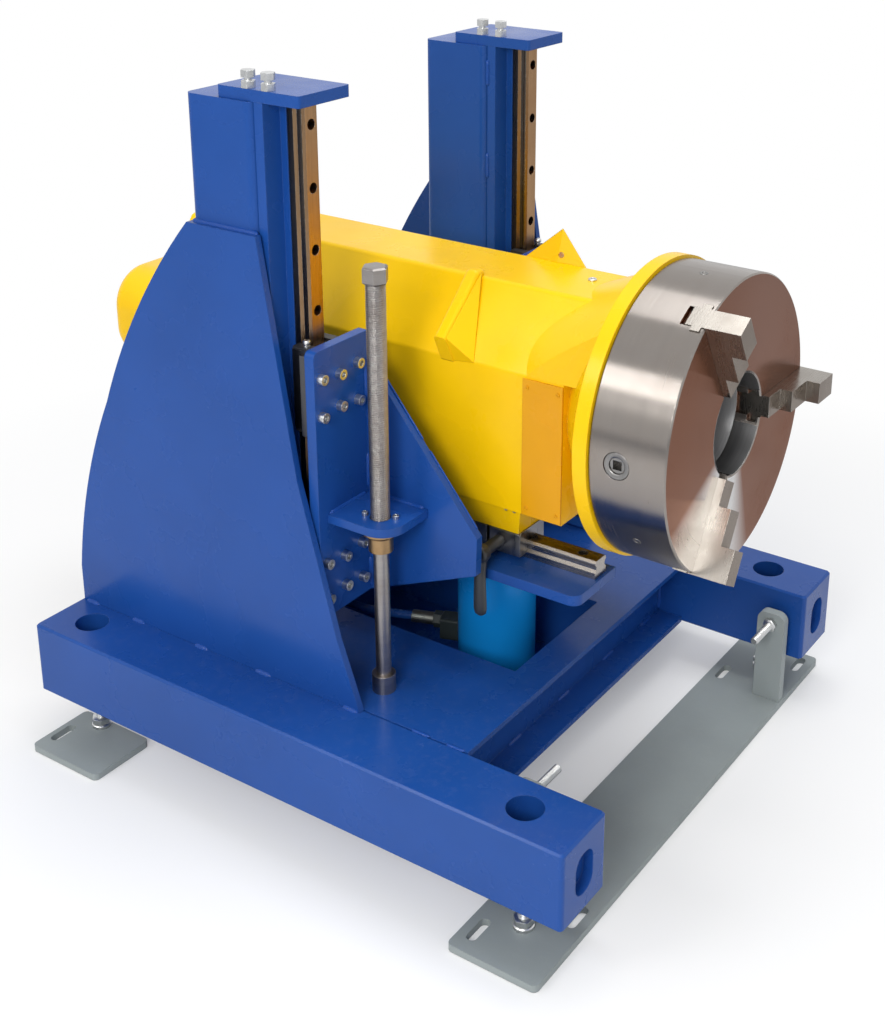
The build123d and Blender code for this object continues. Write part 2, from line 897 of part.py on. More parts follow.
side_plate_left = make_side_plate(-1)
side_plate_left.part.label = "side_plate_left"
side_plate_right = make_side_plate(1)
side_plate_right.part.label = "side_plate_right"

# Angle-shaped cross beam between the side plates, pushed up by the cylinder rod
with BuildPart() as cross_beam:
    with BuildSketch(Plane.XZ):
        with BuildLine():
            Polyline(
                (carriage_back, cross_plate_top - cross_web_drop),
                (carriage_face, cross_plate_top - cross_web_drop),
                (carriage_face, cross_plate_bottom),
                (carriage_face + cross_plate_reach, cross_plate_bottom),
                (carriage_face + cross_plate_reach, cross_plate_top),
                (carriage_back, cross_plate_top),
                close=True,
            )
        make_face()
    extrude(amount=carriage_inner_y, both=True)
    cut_x = carriage_face + (cross_plate_wing_reach + cross_plate_reach) / 2
    with BuildSketch(Plane.XY.offset(cross_plate_bottom)):
        for side in (-1, 1):
            with Locations((cut_x, side * (bed_half_width + carriage_inner_y) / 2)):
                Rectangle(cross_plate_reach - cross_plate_wing_reach, carriage_inner_y - bed_half_width)
    extrude(amount=cross_plate_thickness, mode=Mode.SUBTRACT)
cross_beam.part.label = "cross_beam"

# Fork-shaped bed plate with the two horizontal rails
with BuildPart() as bed_plate:
    with BuildSketch(Plane.XY.offset(cross_plate_top)) as bed_outline:
        with Locations(((bed_rear + bed_front) / 2, 0)):
            RectangleRounded(bed_front - bed_rear, 2 * bed_half_width, bed_corner)
        slot_rear = bed_rear + bed_bridge
        with Locations(((slot_rear + bed_front) / 2, 0)):
            Rectangle(bed_front - slot_rear, 2 * bed_slot_half_width, mode=Mode.SUBTRACT)
    extrude(amount=bed_thickness)
bed_plate.part.label = "bed_plate"

with BuildPart() as bed_rails:
    hole_count = int((bed_rail_length - bed_rail_end) // rail_pitch) + 1
    for side in (-1, 1):
        with BuildSketch(across_x(bed_rail_rear, side * bed_rail_y, bed_top)):
            Polygon(*rail_points(0), align=None)
        extrude(amount=bed_rail_length)
        with Locations(
            *[
                (bed_rail_front - bed_rail_end - rail_pitch * n, side * bed_rail_y, bed_top + rail_height)
                for n in range(hole_count)
            ]
        ):
            CounterBoreHole(rail_bore_radius, rail_counterbore_radius, rail_counterbore_depth, rail_height)
bed_rails.part.label = "bed_rails"

# Telescopic cylinder: barrel, middle stage and rod
with BuildPart() as cylinder_barrel:
    with BuildSketch(Plane(origin=(cylinder_x, 0, 0), x_dir=(1, 0, 0), z_dir=(0, -1, 0))):
        with BuildLine():
            Polyline(
                (0, barrel_bottom),
                (barrel_radius, barrel_bottom),
                (barrel_radius, barrel_top),
                (stage_radius + running_fit, barrel_top),
                (stage_radius + running_fit, barrel_top - gland_height),
                (barrel_bore, barrel_top - gland_height),
                (barrel_bore, barrel_bottom + barrel_floor),
                (0, barrel_bottom + barrel_floor),
                close=True,
            )
        make_face()
    revolve(axis=Axis((cylinder_x, 0, 0), (0, 0, 1)))
cylinder_barrel.part.label = "cylinder_barrel"

with BuildPart() as lift_stage:
    with BuildSketch(Plane(origin=(cylinder_x, 0, 0), x_dir=(1, 0, 0), z_dir=(0, -1, 0))):
        with BuildLine():
            Polyline(
                (stage_bore, stage_bottom),
                (barrel_bore - running_fit, stage_bottom),
                (barrel_bore - running_fit, stage_bottom + stage_piston_height),
                (stage_radius, stage_bottom + stage_piston_height),
                (stage_radius, stage_top),
                (rod_radius + running_fit, stage_top),
                (rod_radius + running_fit, stage_top - gland_height),
                (stage_bore, stage_top - gland_height),
                close=True,
            )
        make_face()
    revolve(axis=Axis((cylinder_x, 0, 0), (0, 0, 1)))
lift_stage.part.label = "lift_stage"

with BuildPart() as lift_rod:
    with BuildSketch(Plane(origin=(cylinder_x, 0, 0), x_dir=(1, 0, 0), z_dir=(0, -1, 0))):
        with BuildLine():
            Polyline(
                (0, rod_bottom),
                (stage_bore - running_fit, rod_bottom),
                (stage_bore - running_fit, rod_bottom + rod_piston_height),
                (rod_radius, rod_bottom + rod_piston_height),
                (rod_radius, cross_plate_bottom),
                (0, cross_plate_bottom),
                close=True,
            )
        make_face()
    revolve(axis=Axis((cylinder_x, 0, 0), (0, 0, 1)))
lift_rod.part.label = "lift_rod"

# Valve block on the barrel, hose with a ferrule at each end, and the rear fitting of the hose
port_dir = (cos(radians(port_angle)), sin(radians(port_angle)))
port_plane = Plane(origin=(cylinder_x, 0, hose_z), x_dir=(-port_dir[1], port_dir[0], 0), z_dir=(*port_dir, 0))
valve_start = barrel_radius - 1.5
nut_start = barrel_radius + valve_length
ferrule_start = nut_start + hose_nut_height
hose_start = ferrule_start + ferrule_length

with BuildPart() as lift_valve:
    with BuildSketch(port_plane.offset(valve_start)):
        with Locations((0, -valve_height / 4)):
            RectangleRounded(valve_width, valve_height, 4)
    extrude(amount=nut_start - valve_start)
    with BuildSketch(Plane.XY.offset(barrel_bottom)):
        with Locations((cylinder_x, 0)):
            Circle(barrel_radius)
    extrude(amount=barrel_height, mode=Mode.SUBTRACT)
    with BuildSketch(port_plane.offset(nut_start)):
        RegularPolygon(hose_nut_width / 2, 6, major_radius=False)
    extrude(amount=hose_nut_height)
lift_valve.part.label = "lift_valve"

rear_x = pit_rear + hose_nut_height + ferrule_length
start_x = cylinder_x + port_dir[0] * hose_start
start_y = port_dir[1] * hose_start
hose_run = (start_x - rear_x) / 3
hose_points = [
    (start_x, start_y, hose_z),
    (start_x - hose_run, start_y + hose_run * port_dir[1] / -port_dir[0], hose_z),
    (rear_x + hose_run, start_y - hose_side, hose_z - hose_drop),
    (rear_x, start_y - hose_side, hose_z - hose_drop),
]


def arc_radii(points):
    """Radius of the tangent arc at each inner point of a route, as large as its runs allow."""
    radii = []
    for before, corner, after in zip(points, points[1:], points[2:]):
        run_in = Vector(corner) - Vector(before)
        run_out = Vector(after) - Vector(corner)
        half_turn = radians(run_in.get_angle(run_out)) / 2
        radii.append(0.45 * min(run_in.length, run_out.length) / tan(half_turn))
    return radii


hose_radii = arc_radii(hose_points)
with BuildPart() as hose:
    with BuildLine() as hose_route:
        FilletPolyline(*hose_points, radius=hose_radii)
    with BuildSketch(Plane(origin=hose_points[0], z_dir=hose_route.line % 0)):
        Circle(hose_radius)
    sweep()
hose.part.label = "hose"
print("hose radii", [round(radius) for radius in hose_radii])
print("hose length", round(hose_route.wires()[0].length), "volume", round(hose.part.volume))

with BuildPart() as hose_ferrules:
    with BuildSketch(port_plane.offset(ferrule_start)):
        Circle(ferrule_radius)
    extrude(amount=ferrule_length)
    with BuildSketch(across_x(pit_rear, hose_points[-1][1], hose_points[-1][2])):
        RegularPolygon(hose_nut_width / 2, 6, major_radius=False)
    extrude(amount=hose_nut_height)
    with BuildSketch(across_x(pit_rear + hose_nut_height, hose_points[-1][1], hose_points[-1][2])):
        Circle(ferrule_radius)
    extrude(amount=ferrule_length)
hose_ferrules.part.label = "hose_ferrules"

# Head: a faceted box that flares into a conical neck, on a saddle over the bed
head_outline = [
    (head_half_width, head_bottom),
    (head_half_width, head_shoulder),
    (head_top_half_width, head_top),
    (-head_top_half_width, head_top),
    (-head_half_width, head_shoulder),
    (-head_half_width, head_bottom),
]
axial = Plane(origin=(0, 0, axis_z), x_dir=(1, 0, 0), z_dir=(0, -1, 0))
chuck_axis = Axis((0, 0, axis_z), (1, 0, 0))

# Flare that leads the top and the shoulders into the neck, flush with the sides
with BuildPart() as neck_flare:
    with BuildSketch(axial):
        with BuildLine():
            Polyline(
                (flare_start, 0),
                (flare_start, flare_start_radius),
                (neck_end, neck_end_radius),
                (neck_end, 0),
                close=True,
            )
        make_face()
    revolve(axis=chuck_axis)
    with BuildSketch(Plane.XY.offset(head_shoulder)):
        with Locations(((flare_start + neck_end) / 2, 0)):
            Rectangle(neck_end - flare_start, 2 * head_half_width)
    extrude(amount=neck_end_radius, mode=Mode.INTERSECT)

with BuildPart() as head_form:
    with BuildSketch(across_x(head_rear, 0, 0)) as box_outline:
        Polygon(*head_outline, align=None)
        fillet([corner for corner in box_outline.vertices() if corner.Y > head_bottom + 1], head_bend)
    extrude(amount=head_length)
    saddle_middle = (saddle_rear + saddle_front) / 2
    saddle_length = saddle_front - saddle_rear
    with BuildSketch(Plane.XY.offset(head_bottom)):
        with Locations((saddle_middle, 0)):
            Rectangle(saddle_length, 2 * (head_half_width - saddle_inset))
    with BuildSketch(Plane.XY.offset(saddle_bottom)):
        with Locations((saddle_middle, 0)):
            Rectangle(saddle_length - 2 * saddle_taper, 2 * (head_half_width - saddle_inset - saddle_taper))
    loft()
    with BuildSketch(axial):
        with BuildLine():
            Polyline(
                (head_front, 0),
                (head_front, neck_start_radius),
                (neck_end, neck_end_radius),
                (neck_end, 0),
                close=True,
            )
        make_face()
    revolve(axis=chuck_axis)
    add(neck_flare.part)

with BuildPart() as head_housing:
    add(head_form.part)
    rooms = (
        (head_rear + head_wall, bulkhead_rear),
        (bulkhead_rear + bulkhead_thickness, head_front - head_front_wall),
    )
    for start, end in rooms:
        with BuildSketch(across_x(start, 0, 0)):
            Polygon(*head_outline, align=None)
            offset(amount=-head_wall, mode=Mode.REPLACE)
        extrude(amount=end - start, mode=Mode.SUBTRACT)
    with BuildSketch(across_x(bulkhead_rear, 0, axis_z)):
        Circle(rear_bearing_radius + seat_fit)
    extrude(amount=bulkhead_thickness, mode=Mode.SUBTRACT)
    with BuildSketch(across_x(head_front - head_front_wall, 0, axis_z)):
        Circle(front_bearing_radius + seat_fit)
    extrude(amount=neck_end - head_front + head_front_wall, mode=Mode.SUBTRACT)
    with BuildSketch(across_x(head_rear, 0, motor_z)):
        Circle(motor_hole_radius)
    extrude(amount=head_wall, mode=Mode.SUBTRACT)
head_housing.part.label = "head_housing"

# Ring flange on the neck, which carries the front cover of the bearing
with BuildPart() as front_flange:
    with BuildSketch(across_x(neck_end, 0, axis_z)):
        Circle(flange_radius)
        Circle(flange_bore, mode=Mode.SUBTRACT)
    extrude(amount=flange_thickness)
front_flange.part.label = "front_flange"

with BuildPart() as main_bearings:
    for start, radius, width in (
        (bulkhead_rear + 2, rear_bearing_radius, rear_bearing_width),
        (neck_end - 2 - front_bearing_width, front_bearing_radius, front_bearing_width),
    ):
        with BuildSketch(across_x(start, 0, axis_z)):
            Circle(radius)
            Circle(shaft_radius + seat_fit, mode=Mode.SUBTRACT)
        extrude(amount=width)
main_bearings.part.label = "main_bearings"

# Service covers on both sides of the head
with BuildPart() as side_covers:
    for side in (-1, 1):
        middle_y = side * (head_half_width + side_cover_thickness / 2)
        with BuildSketch(Plane.XZ.offset(-middle_y)):
            with Locations((head_front - side_cover_length / 2, head_bottom + 2 + side_cover_height / 2)):
                Rectangle(side_cover_length, side_cover_height)
        extrude(amount=side_cover_thickness / 2, both=True)
    add(head_form.part, mode=Mode.SUBTRACT)
side_covers.part.label = "side_covers"

# Lifting lugs: a rounded rib on the near shoulder and a peaked eye on the far one
with BuildPart() as lug_near:
    with BuildSketch(across_x(near_lug_x - near_lug_thickness / 2, 0, 0)) as rib:
        Polygon(
            (-head_top_half_width + near_lug_crest, head_top - near_lug_edge),
            (-head_top_half_width + near_lug_crest, head_top + near_lug_crest),
            (-head_top_half_width - near_lug_crest, head_top + near_lug_crest),
            (-head_half_width - near_lug_foot_out, head_shoulder + near_lug_foot_up),
            (-head_half_width, head_shoulder - near_lug_edge),
            align=None,
        )
        fillet([corner for corner in rib.vertices() if corner.Y > head_top], near_lug_crest - 1)
    extrude(amount=near_lug_thickness)
    outer_edges = lug_near.edges().filter_by(GeomType.LINE).filter_by(Axis.X, reverse=True)
    outer_edges = outer_edges.filter_by(lambda edge: edge.length > near_lug_foot_up)
    fillet(outer_edges.sort_by(lambda edge: edge.center().Z - edge.center().Y)[-2:], near_lug_edge)
    add(head_form.part, mode=Mode.SUBTRACT)
lug_near.part.label = "lug_near"

with BuildPart() as lug_far:
    with BuildSketch(Plane.XY.offset(head_top - far_lug_depth)):
        Polygon(
            (far_lug_x - far_lug_rear, head_top_half_width),
            (far_lug_x, head_top_half_width - far_lug_near),
            (far_lug_x + far_lug_front, head_top_half_width),
            (far_lug_x, head_top_half_width + far_lug_far),
            align=None,
        )
    peak = Vertex(far_lug_x, head_top_half_width + far_lug_lean, head_top + far_lug_rise)
    loft([lug_far.pending_faces[0], peak])
    eye_spot = (far_lug_x + far_lug_eye_radius, head_top_half_width, head_top + far_lug_eye_height)
    with Locations(Plane(origin=eye_spot, z_dir=(0.3, -0.95, 0))):
        Hole(far_lug_eye_radius)
    add(head_form.part, mode=Mode.SUBTRACT)
lug_far.part.label = "lug_far"

# Rear cover over the motor end, and the gear motor inside head and cover
with BuildPart() as rear_cover:
    with BuildSketch(across_x(head_rear, 0, motor_z)):
        RectangleRounded(rear_cover_width, rear_cover_height, rear_cover_corner)
    extrude(amount=-rear_cover_length)
    fillet(rear_cover.faces().sort_by(Axis.X)[0].edges(), rear_cover_edge)
    offset(amount=-rear_cover_wall, openings=rear_cover.faces().sort_by(Axis.X)[-1])
rear_cover.part.label = "rear_cover"

with BuildPart() as gear_motor:
    with BuildSketch(across_x(gearbox_rear, 0, (gearbox_bottom + gearbox_top) / 2)):
        RectangleRounded(2 * gearbox_half_width, gearbox_top - gearbox_bottom, 10)
    extrude(amount=gearbox_length)
    with BuildSketch(across_x(gearbox_rear, 0, motor_z)):
        Circle(motor_radius)
    extrude(amount=-motor_length)
gear_motor.part.label = "gear_motor"

with BuildPart() as drive_pinion:
    drive_start = gearbox_rear + gearbox_length + guide_air
    with BuildSketch(across_x(drive_start, 0, drive_z)):
        Circle(drive_shaft_radius)
    extrude(amount=drive_shaft_length)
    with BuildSketch(across_x(shaft_gear_rear - 3, 0, drive_z)):
        Circle(drive_pinion_radius)
    extrude(amount=drive_pinion_width)
drive_pinion.part.label = "drive_pinion"

# Hollow main shaft with its drive gear, at the gear's pitch size
with BuildPart() as main_shaft:
    with BuildSketch(across_x(shaft_rear, 0, axis_z)):
        Circle(shaft_radius)
        Circle(shaft_bore, mode=Mode.SUBTRACT)
    extrude(amount=chuck_back - shaft_rear)
    with BuildSketch(across_x(shaft_gear_rear, 0, axis_z)):
        Circle(shaft_gear_radius)
        Circle(shaft_radius - 1, mode=Mode.SUBTRACT)
    extrude(amount=shaft_gear_width)
main_shaft.part.label = "main_shaft"

# Chuck body with its scroll room, three open T-slots and three pinion bores
jaw_angles = (0, 120, 240)
pinion_angles = (60, 180, 300)


def radial(angle, x, radius):
    """Plane that looks outward at an angle round the chuck axis, with X to the right."""
    outward = (0, cos(radians(angle)), sin(radians(angle)))
    spot = (x, radius * outward[1], axis_z + radius * outward[2])
    return Plane(origin=spot, x_dir=(1, 0, 0), z_dir=outward)


def slot_section(x_bottom, air):
    """Rectangles of the T-section as (centre x, length x, width across)."""
    tongue_x = chuck_face - jaw_tongue_setback - jaw_tongue_depth / 2
    return [
        ((x_bottom + chuck_face) / 2, chuck_face - x_bottom, jaw_width + 2 * air),
        (tongue_x, jaw_tongue_depth + 2 * air, jaw_tongue_width + 2 * air),
    ]


with BuildPart() as chuck_body:
    with BuildSketch(axial):
        with BuildLine():
            Polyline(
                (chuck_back, chuck_bore),
                (chuck_back, chuck_radius - chuck_edge),
                (chuck_back + chuck_edge, chuck_radius),
                (chuck_face - chuck_edge, chuck_radius),
                (chuck_face, chuck_radius - chuck_edge),
                (chuck_face, chuck_bore + chuck_edge),
                (chuck_face - chuck_edge, chuck_bore),
                close=True,
            )
        make_face()
    revolve(axis=chuck_axis)
    with BuildSketch(across_x(chuck_back + scroll_room_back, 0, axis_z)):
        Circle(scroll_radius + guide_air)
        Circle(scroll_bore - running_fit, mode=Mode.SUBTRACT)
    extrude(amount=slot_bottom - chuck_back - scroll_room_back, mode=Mode.SUBTRACT)
    for angle in jaw_angles:
        with BuildSketch(radial(angle, 0, chuck_bore / 2)):
            for middle_x, length_x, width in slot_section(slot_bottom, 0):
                with Locations((middle_x, 0)):
                    Rectangle(length_x, width)
        extrude(amount=chuck_radius, mode=Mode.SUBTRACT)
    for angle in pinion_angles:
        with BuildSketch(radial(angle, pinion_x, chuck_radius)):
            Circle(pinion_ring_radius)
        extrude(amount=-pinion_ring_depth - 1, mode=Mode.SUBTRACT)
        with BuildSketch(radial(angle, pinion_x, chuck_radius)):
            Circle(pinion_radius + running_fit)
        extrude(amount=pinion_inner - chuck_radius - 1, mode=Mode.SUBTRACT)
chuck_body.part.label = "chuck_body"

with BuildPart() as scroll_plate:
    with BuildSketch(across_x(scroll_back, 0, axis_z)):
        Circle(scroll_radius)
        Circle(scroll_bore, mode=Mode.SUBTRACT)
    extrude(amount=scroll_thickness)
scroll_plate.part.label = "scroll_plate"


def make_pinion(angle):
    with BuildPart() as pinion:
        with BuildSketch(radial(angle, pinion_x, pinion_inner)):
            Circle(pinion_radius)
        extrude(amount=pinion_outer - pinion_inner)
        with BuildSketch(radial(angle, pinion_x, pinion_inner + 8)):
            Circle(pinion_gear_radius)
        extrude(amount=pinion_gear_end - pinion_inner - 8)
        with BuildSketch(radial(angle, pinion_x, pinion_outer)):
            Rectangle(pinion_socket, pinion_socket)
        extrude(amount=-pinion_socket_depth, mode=Mode.SUBTRACT)
    return pinion


pinion_1 = make_pinion(pinion_angles[0])
pinion_1.part.label = "pinion_1"
pinion_2 = make_pinion(pinion_angles[1])
pinion_2.part.label = "pinion_2"
pinion_3 = make_pinion(pinion_angles[2])
pinion_3.part.label = "pinion_3"


# Stepped jaws with side tongues
def make_jaw(angle):
    outward = (0, cos(radians(angle)), sin(radians(angle)))
    across = (0, -sin(radians(angle)), cos(radians(angle)))
    flank = Plane(origin=(0, 0, axis_z), x_dir=outward, z_dir=across)
    toward = 1 if flank.y_dir.X > 0 else -1
    step_1 = jaw_inner + jaw_step_inner
    step_2 = step_1 + jaw_step_middle
    outer = jaw_inner + jaw_length
    with BuildPart() as jaw:
        with BuildSketch(flank):
            Polygon(
                (jaw_inner, toward * (slot_bottom + guide_air)),
                (outer - jaw_heel, toward * (slot_bottom + guide_air)),
                (outer, toward * (slot_bottom + guide_air + jaw_heel)),
                (outer, toward * (chuck_face + jaw_outer_height)),
                (step_2, toward * (chuck_face + jaw_outer_height)),
                (step_2, toward * (chuck_face + jaw_middle_height)),
                (step_1, toward * (chuck_face + jaw_middle_height)),
                (step_1, toward * (chuck_face + jaw_inner_height)),
                (jaw_inner, toward * (chuck_face + jaw_inner_height)),
                align=None,
            )
        extrude(amount=jaw_width / 2 - guide_air, both=True)
        with BuildSketch(radial(angle, chuck_face - jaw_tongue_setback - jaw_tongue_depth / 2, jaw_inner)):
            Rectangle(jaw_tongue_depth - 2 * guide_air, jaw_tongue_width - 2 * guide_air)
        extrude(amount=jaw_length)
    return jaw


jaw_1 = make_jaw(jaw_angles[0])
jaw_1.part.label = "jaw_1"
jaw_2 = make_jaw(jaw_angles[1])
jaw_2.part.label = "jaw_2"
jaw_3 = make_jaw(jaw_angles[2])
jaw_3.part.label = "jaw_3"

# Runner blocks under the saddle, and the hand clamp beside the near front one
with BuildPart() as bed_blocks:
    for side in (-1, 1):
        for block_x in (clamp_rear - clamp_gap - narrow_block_length, bed_rail_rear + rear_block_inset):
            with BuildSketch(across_x(block_x, side * bed_rail_y, bed_top)):
                Polygon(*narrow_block_points(), align=None)
                Polygon(*rail_points(rail_air), align=None, mode=Mode.SUBTRACT)
            extrude(amount=narrow_block_length)
bed_blocks.part.label = "bed_blocks"

clamp_face_y = -bed_rail_y - narrow_block_width / 2
with BuildPart() as clamp_block:
    with BuildSketch(across_x(clamp_rear, -bed_rail_y, bed_top)):
        Polygon(*narrow_block_points(), align=None)
        Polygon(*rail_points(rail_air), align=None, mode=Mode.SUBTRACT)
    extrude(amount=clamp_length)
    with BuildSketch(Plane.XZ.offset(-clamp_face_y)):
        with Locations((lever_x, lever_z)):
            Circle(lever_pin_radius + running_fit)
    extrude(amount=-lever_pin_length - 1, mode=Mode.SUBTRACT)
clamp_block.part.label = "clamp_block"

with BuildPart() as clamp_lever:
    hub_end = clamp_face_y - guide_air
    with BuildSketch(Plane.XZ.offset(-hub_end)):
        with Locations((lever_x, lever_z)):
            Circle(lever_pin_radius)
    extrude(amount=-lever_pin_length)
    with BuildSketch(Plane.XZ.offset(-hub_end)):
        with Locations((lever_x, lever_z)):
            Circle(lever_hub_radius)
    extrude(amount=hub_end - lever_arm_y)
    with BuildSketch(Plane.XZ.offset(-lever_arm_y)):
        tip_z = lever_z - lever_arm_length + lever_tip_radius
        Polygon(
            (lever_x - lever_hub_radius, lever_z),
            (lever_x - lever_tip_radius, tip_z),
            (lever_x + lever_tip_radius, tip_z),
            (lever_x + lever_hub_radius, lever_z),
            align=None,
        )
        with Locations((lever_x, lever_z)):
            Circle(lever_hub_radius)
        with Locations((lever_x, tip_z)):
            Circle(lever_tip_radius)
    extrude(amount=lever_arm_thickness)
clamp_lever.part.label = "clamp_lever"

pieces = [
    beam_left, beam_right, deck_plate, crossmembers, cylinder_pit,
    column_left, column_right, rail_bars, column_rail_left, column_rail_right,
    gusset_left, gusset_right, top_plates, top_bolts, spindle_foot,
    cylinder_barrel, lift_valve, hose, hose_ferrules,
    front_foot_plate, rear_foot_plates, levelling_studs, side_brackets,
    side_screw_left, side_screw_right,
    carriage_plate_left, carriage_plate_right, runner_blocks, side_plate_left, side_plate_right,
    nut_bracket, spindle_nut, carriage_screws, cross_beam, bed_plate, bed_rails, lift_rod,
    lift_stage, spindle,
    head_housing, front_flange, main_bearings, side_covers, lug_near, lug_far, rear_cover,
    gear_motor, bed_blocks, clamp_block, clamp_lever,
    chuck_body, main_shaft, drive_pinion, scroll_plate,
    jaw_1, jaw_2, jaw_3, pinion_1, pinion_2, pinion_3,
]
for piece in pieces:
    export_step(piece.part, f"parts/{piece.part.label}.step")
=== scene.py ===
"""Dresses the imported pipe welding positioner: paint, machined steel, welds, threads and fasteners.

Lengths are metres in the part's own frame: +X along the chuck axis, +Y to the far side, +Z up.
"""

from __future__ import annotations

import json
import logging
import math
from dataclasses import dataclass, field
from enum import Enum
from itertools import product

import bmesh
import bpy
from mathutils import Matrix, Vector

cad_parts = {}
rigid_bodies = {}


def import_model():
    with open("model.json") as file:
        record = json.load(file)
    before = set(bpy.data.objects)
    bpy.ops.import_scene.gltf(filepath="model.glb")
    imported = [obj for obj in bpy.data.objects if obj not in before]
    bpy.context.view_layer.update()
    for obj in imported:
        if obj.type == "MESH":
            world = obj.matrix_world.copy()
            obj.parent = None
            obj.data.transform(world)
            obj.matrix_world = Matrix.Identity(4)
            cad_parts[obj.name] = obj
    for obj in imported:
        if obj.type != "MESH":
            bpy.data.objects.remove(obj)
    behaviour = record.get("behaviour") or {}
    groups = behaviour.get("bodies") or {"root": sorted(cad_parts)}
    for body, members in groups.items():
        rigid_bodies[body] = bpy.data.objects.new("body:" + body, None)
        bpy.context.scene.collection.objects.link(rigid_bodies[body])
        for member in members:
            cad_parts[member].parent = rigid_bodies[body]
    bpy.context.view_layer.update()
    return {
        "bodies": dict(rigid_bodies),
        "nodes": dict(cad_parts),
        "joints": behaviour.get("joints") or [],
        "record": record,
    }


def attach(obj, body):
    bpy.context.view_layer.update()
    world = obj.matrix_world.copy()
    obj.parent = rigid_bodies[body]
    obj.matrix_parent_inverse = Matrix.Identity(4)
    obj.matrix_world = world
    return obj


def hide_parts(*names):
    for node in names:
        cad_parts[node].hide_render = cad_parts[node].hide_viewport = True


LOG = logging.getLogger("positioner")

Pair = tuple[float, float]
Triple = tuple[float, float, float]
Point = Triple
Colour = Triple
Profile = tuple[Pair, ...]


class Grain(Enum):
    """How a bare metal surface was machined."""

    TURNED = "turned"
    GROUND = "ground"
    PLAIN = "plain"


# Shared effects as node groups


class NodeSheet:
    """A node tree with short helpers to place and link its nodes."""

    def __init__(self, tree: bpy.types.NodeTree) -> None:
        """Keep the tree that the nodes go into.

        Args:
            tree: the material's or the group's node tree.
        """
        self.tree = tree

    def node(self, kind: str, **values: object) -> bpy.types.Node:
        """Place a node and set its attributes.

        Args:
            kind: the node's bl_idname.
            **values: attributes to set on it.

        Returns:
            The new node.
        """
        made = self.tree.nodes.new(kind)
        for name, value in values.items():
            setattr(made, name, value)
        return made

    def link(self, source: object, target: object) -> None:
        """Link an output socket to an input socket."""
        self.tree.links.new(source, target)

    def feed(self, slot: object, value: object) -> None:
        """Give an input its value.

        Args:
            slot: the input socket.
            value: a number, a tuple for a vector or a colour, or a socket to link.
        """
        if isinstance(value, (int, float)):
            slot.default_value = value
        elif isinstance(value, tuple):
            slot.default_value = (*value, 1.0) if len(slot.default_value) > len(value) else value
        else:
            self.link(value, slot)

    def place(self) -> object:
        """Return the socket with the object's own coordinates in metres."""
        return self.node("ShaderNodeTexCoord").outputs["Object"]

    def split(self, vector: object) -> object:
        """Split a vector and return its X, Y and Z sockets."""
        made = self.node("ShaderNodeSeparateXYZ")
        self.link(vector, made.inputs["Vector"])
        return made.outputs

    def noise(self, vector: object, scale: float, detail: float = 4.0, rough: float = 0.55) -> object:
        """Place a noise texture.

        Args:
            vector: the socket with the coordinates.
            scale: noise cells per metre.
            detail: octaves.
            rough: how much the small octaves count.

        Returns:
            The socket with the noise's value.
        """
        made = self.node("ShaderNodeTexNoise")
        self.feed(made.inputs["Scale"], scale)
        self.feed(made.inputs["Detail"], detail)
        self.feed(made.inputs["Roughness"], rough)
        self.link(vector, made.inputs["Vector"])
        return made.outputs["Fac"]

    def ramp(self, value: object, low: float, high: float, start: float = 0.0, end: float = 1.0) -> object:
        """Map a value from one span to another with clamping.

        Args:
            value: the socket to map.
            low: input that gives start.
            high: input that gives end.
            start: output at low.
            end: output at high.

        Returns:
            The mapped output socket.
        """
        made = self.node("ShaderNodeMapRange")
        for name, number in (("From Min", low), ("From Max", high), ("To Min", start), ("To Max", end)):
            made.inputs[name].default_value = number
        self.link(value, made.inputs["Value"])
        return made.outputs["Result"]

    def maths(self, operation: str, first: object, second: object) -> object:
        """Combine two values.

        Args:
            operation: the maths node's operation.
            first: a socket or a number.
            second: a socket or a number.

        Returns:
            The result socket.
        """
        made = self.node("ShaderNodeMath", operation=operation)
        self.feed(made.inputs[0], first)
        self.feed(made.inputs[1], second)
        return made.outputs[0]

    def vector(self, operation: str, *values: object) -> bpy.types.Node:
        """Place a vector maths node.

        Args:
            operation: the node's operation.
            *values: its one or two inputs, as sockets or tuples.

        Returns:
            The node.
        """
        made = self.node("ShaderNodeVectorMath", operation=operation)
        for slot, value in zip(made.inputs, values):
            self.feed(slot, value)
        return made

    def blend(self, mask: object, first: object, second: object, kind: str = "MIX") -> object:
        """Mix two colours by a mask.

        Args:
            mask: the factor socket or number.
            first: colour socket or tuple at mask 0.
            second: colour socket or tuple at mask 1.
            kind: how the second colour is laid on the first.

        Returns:
            The mixed colour socket.
        """
        made = self.node("ShaderNodeMix", data_type="RGBA", blend_type=kind)
        self.feed(made.inputs[0], mask)
        self.feed(made.inputs[6], first)
        self.feed(made.inputs[7], second)
        return made.outputs[2]

    def mix_shaders(self, mask: object, first: bpy.types.Node, second: bpy.types.Node) -> object:
        """Mix two shaders by a mask.

        Args:
            mask: the factor socket.
            first: shader node at mask 0.
            second: shader node at mask 1.

        Returns:
            The mixed shader socket.
        """
        made = self.node("ShaderNodeMixShader")
        self.link(mask, made.inputs[0])
        self.link(first.outputs[0], made.inputs[1])
        self.link(second.outputs[0], made.inputs[2])
        return made.outputs[0]

    def bump(self, height: object, strength: float, distance: float, normal: object = None) -> object:
        """Raise the surface by a height.

        Args:
            height: the height socket.
            strength: share of the effect.
            distance: height of the relief in metres.
            normal: the normal to start from, or None for the surface's own.

        Returns:
            The normal socket.
        """
        made = self.node("ShaderNodeBump")
        self.feed(made.inputs["Strength"], strength)
        self.feed(made.inputs["Distance"], distance)
        self.link(height, made.inputs["Height"])
        if normal:
            self.link(normal, made.inputs["Normal"])
        return made.outputs["Normal"]


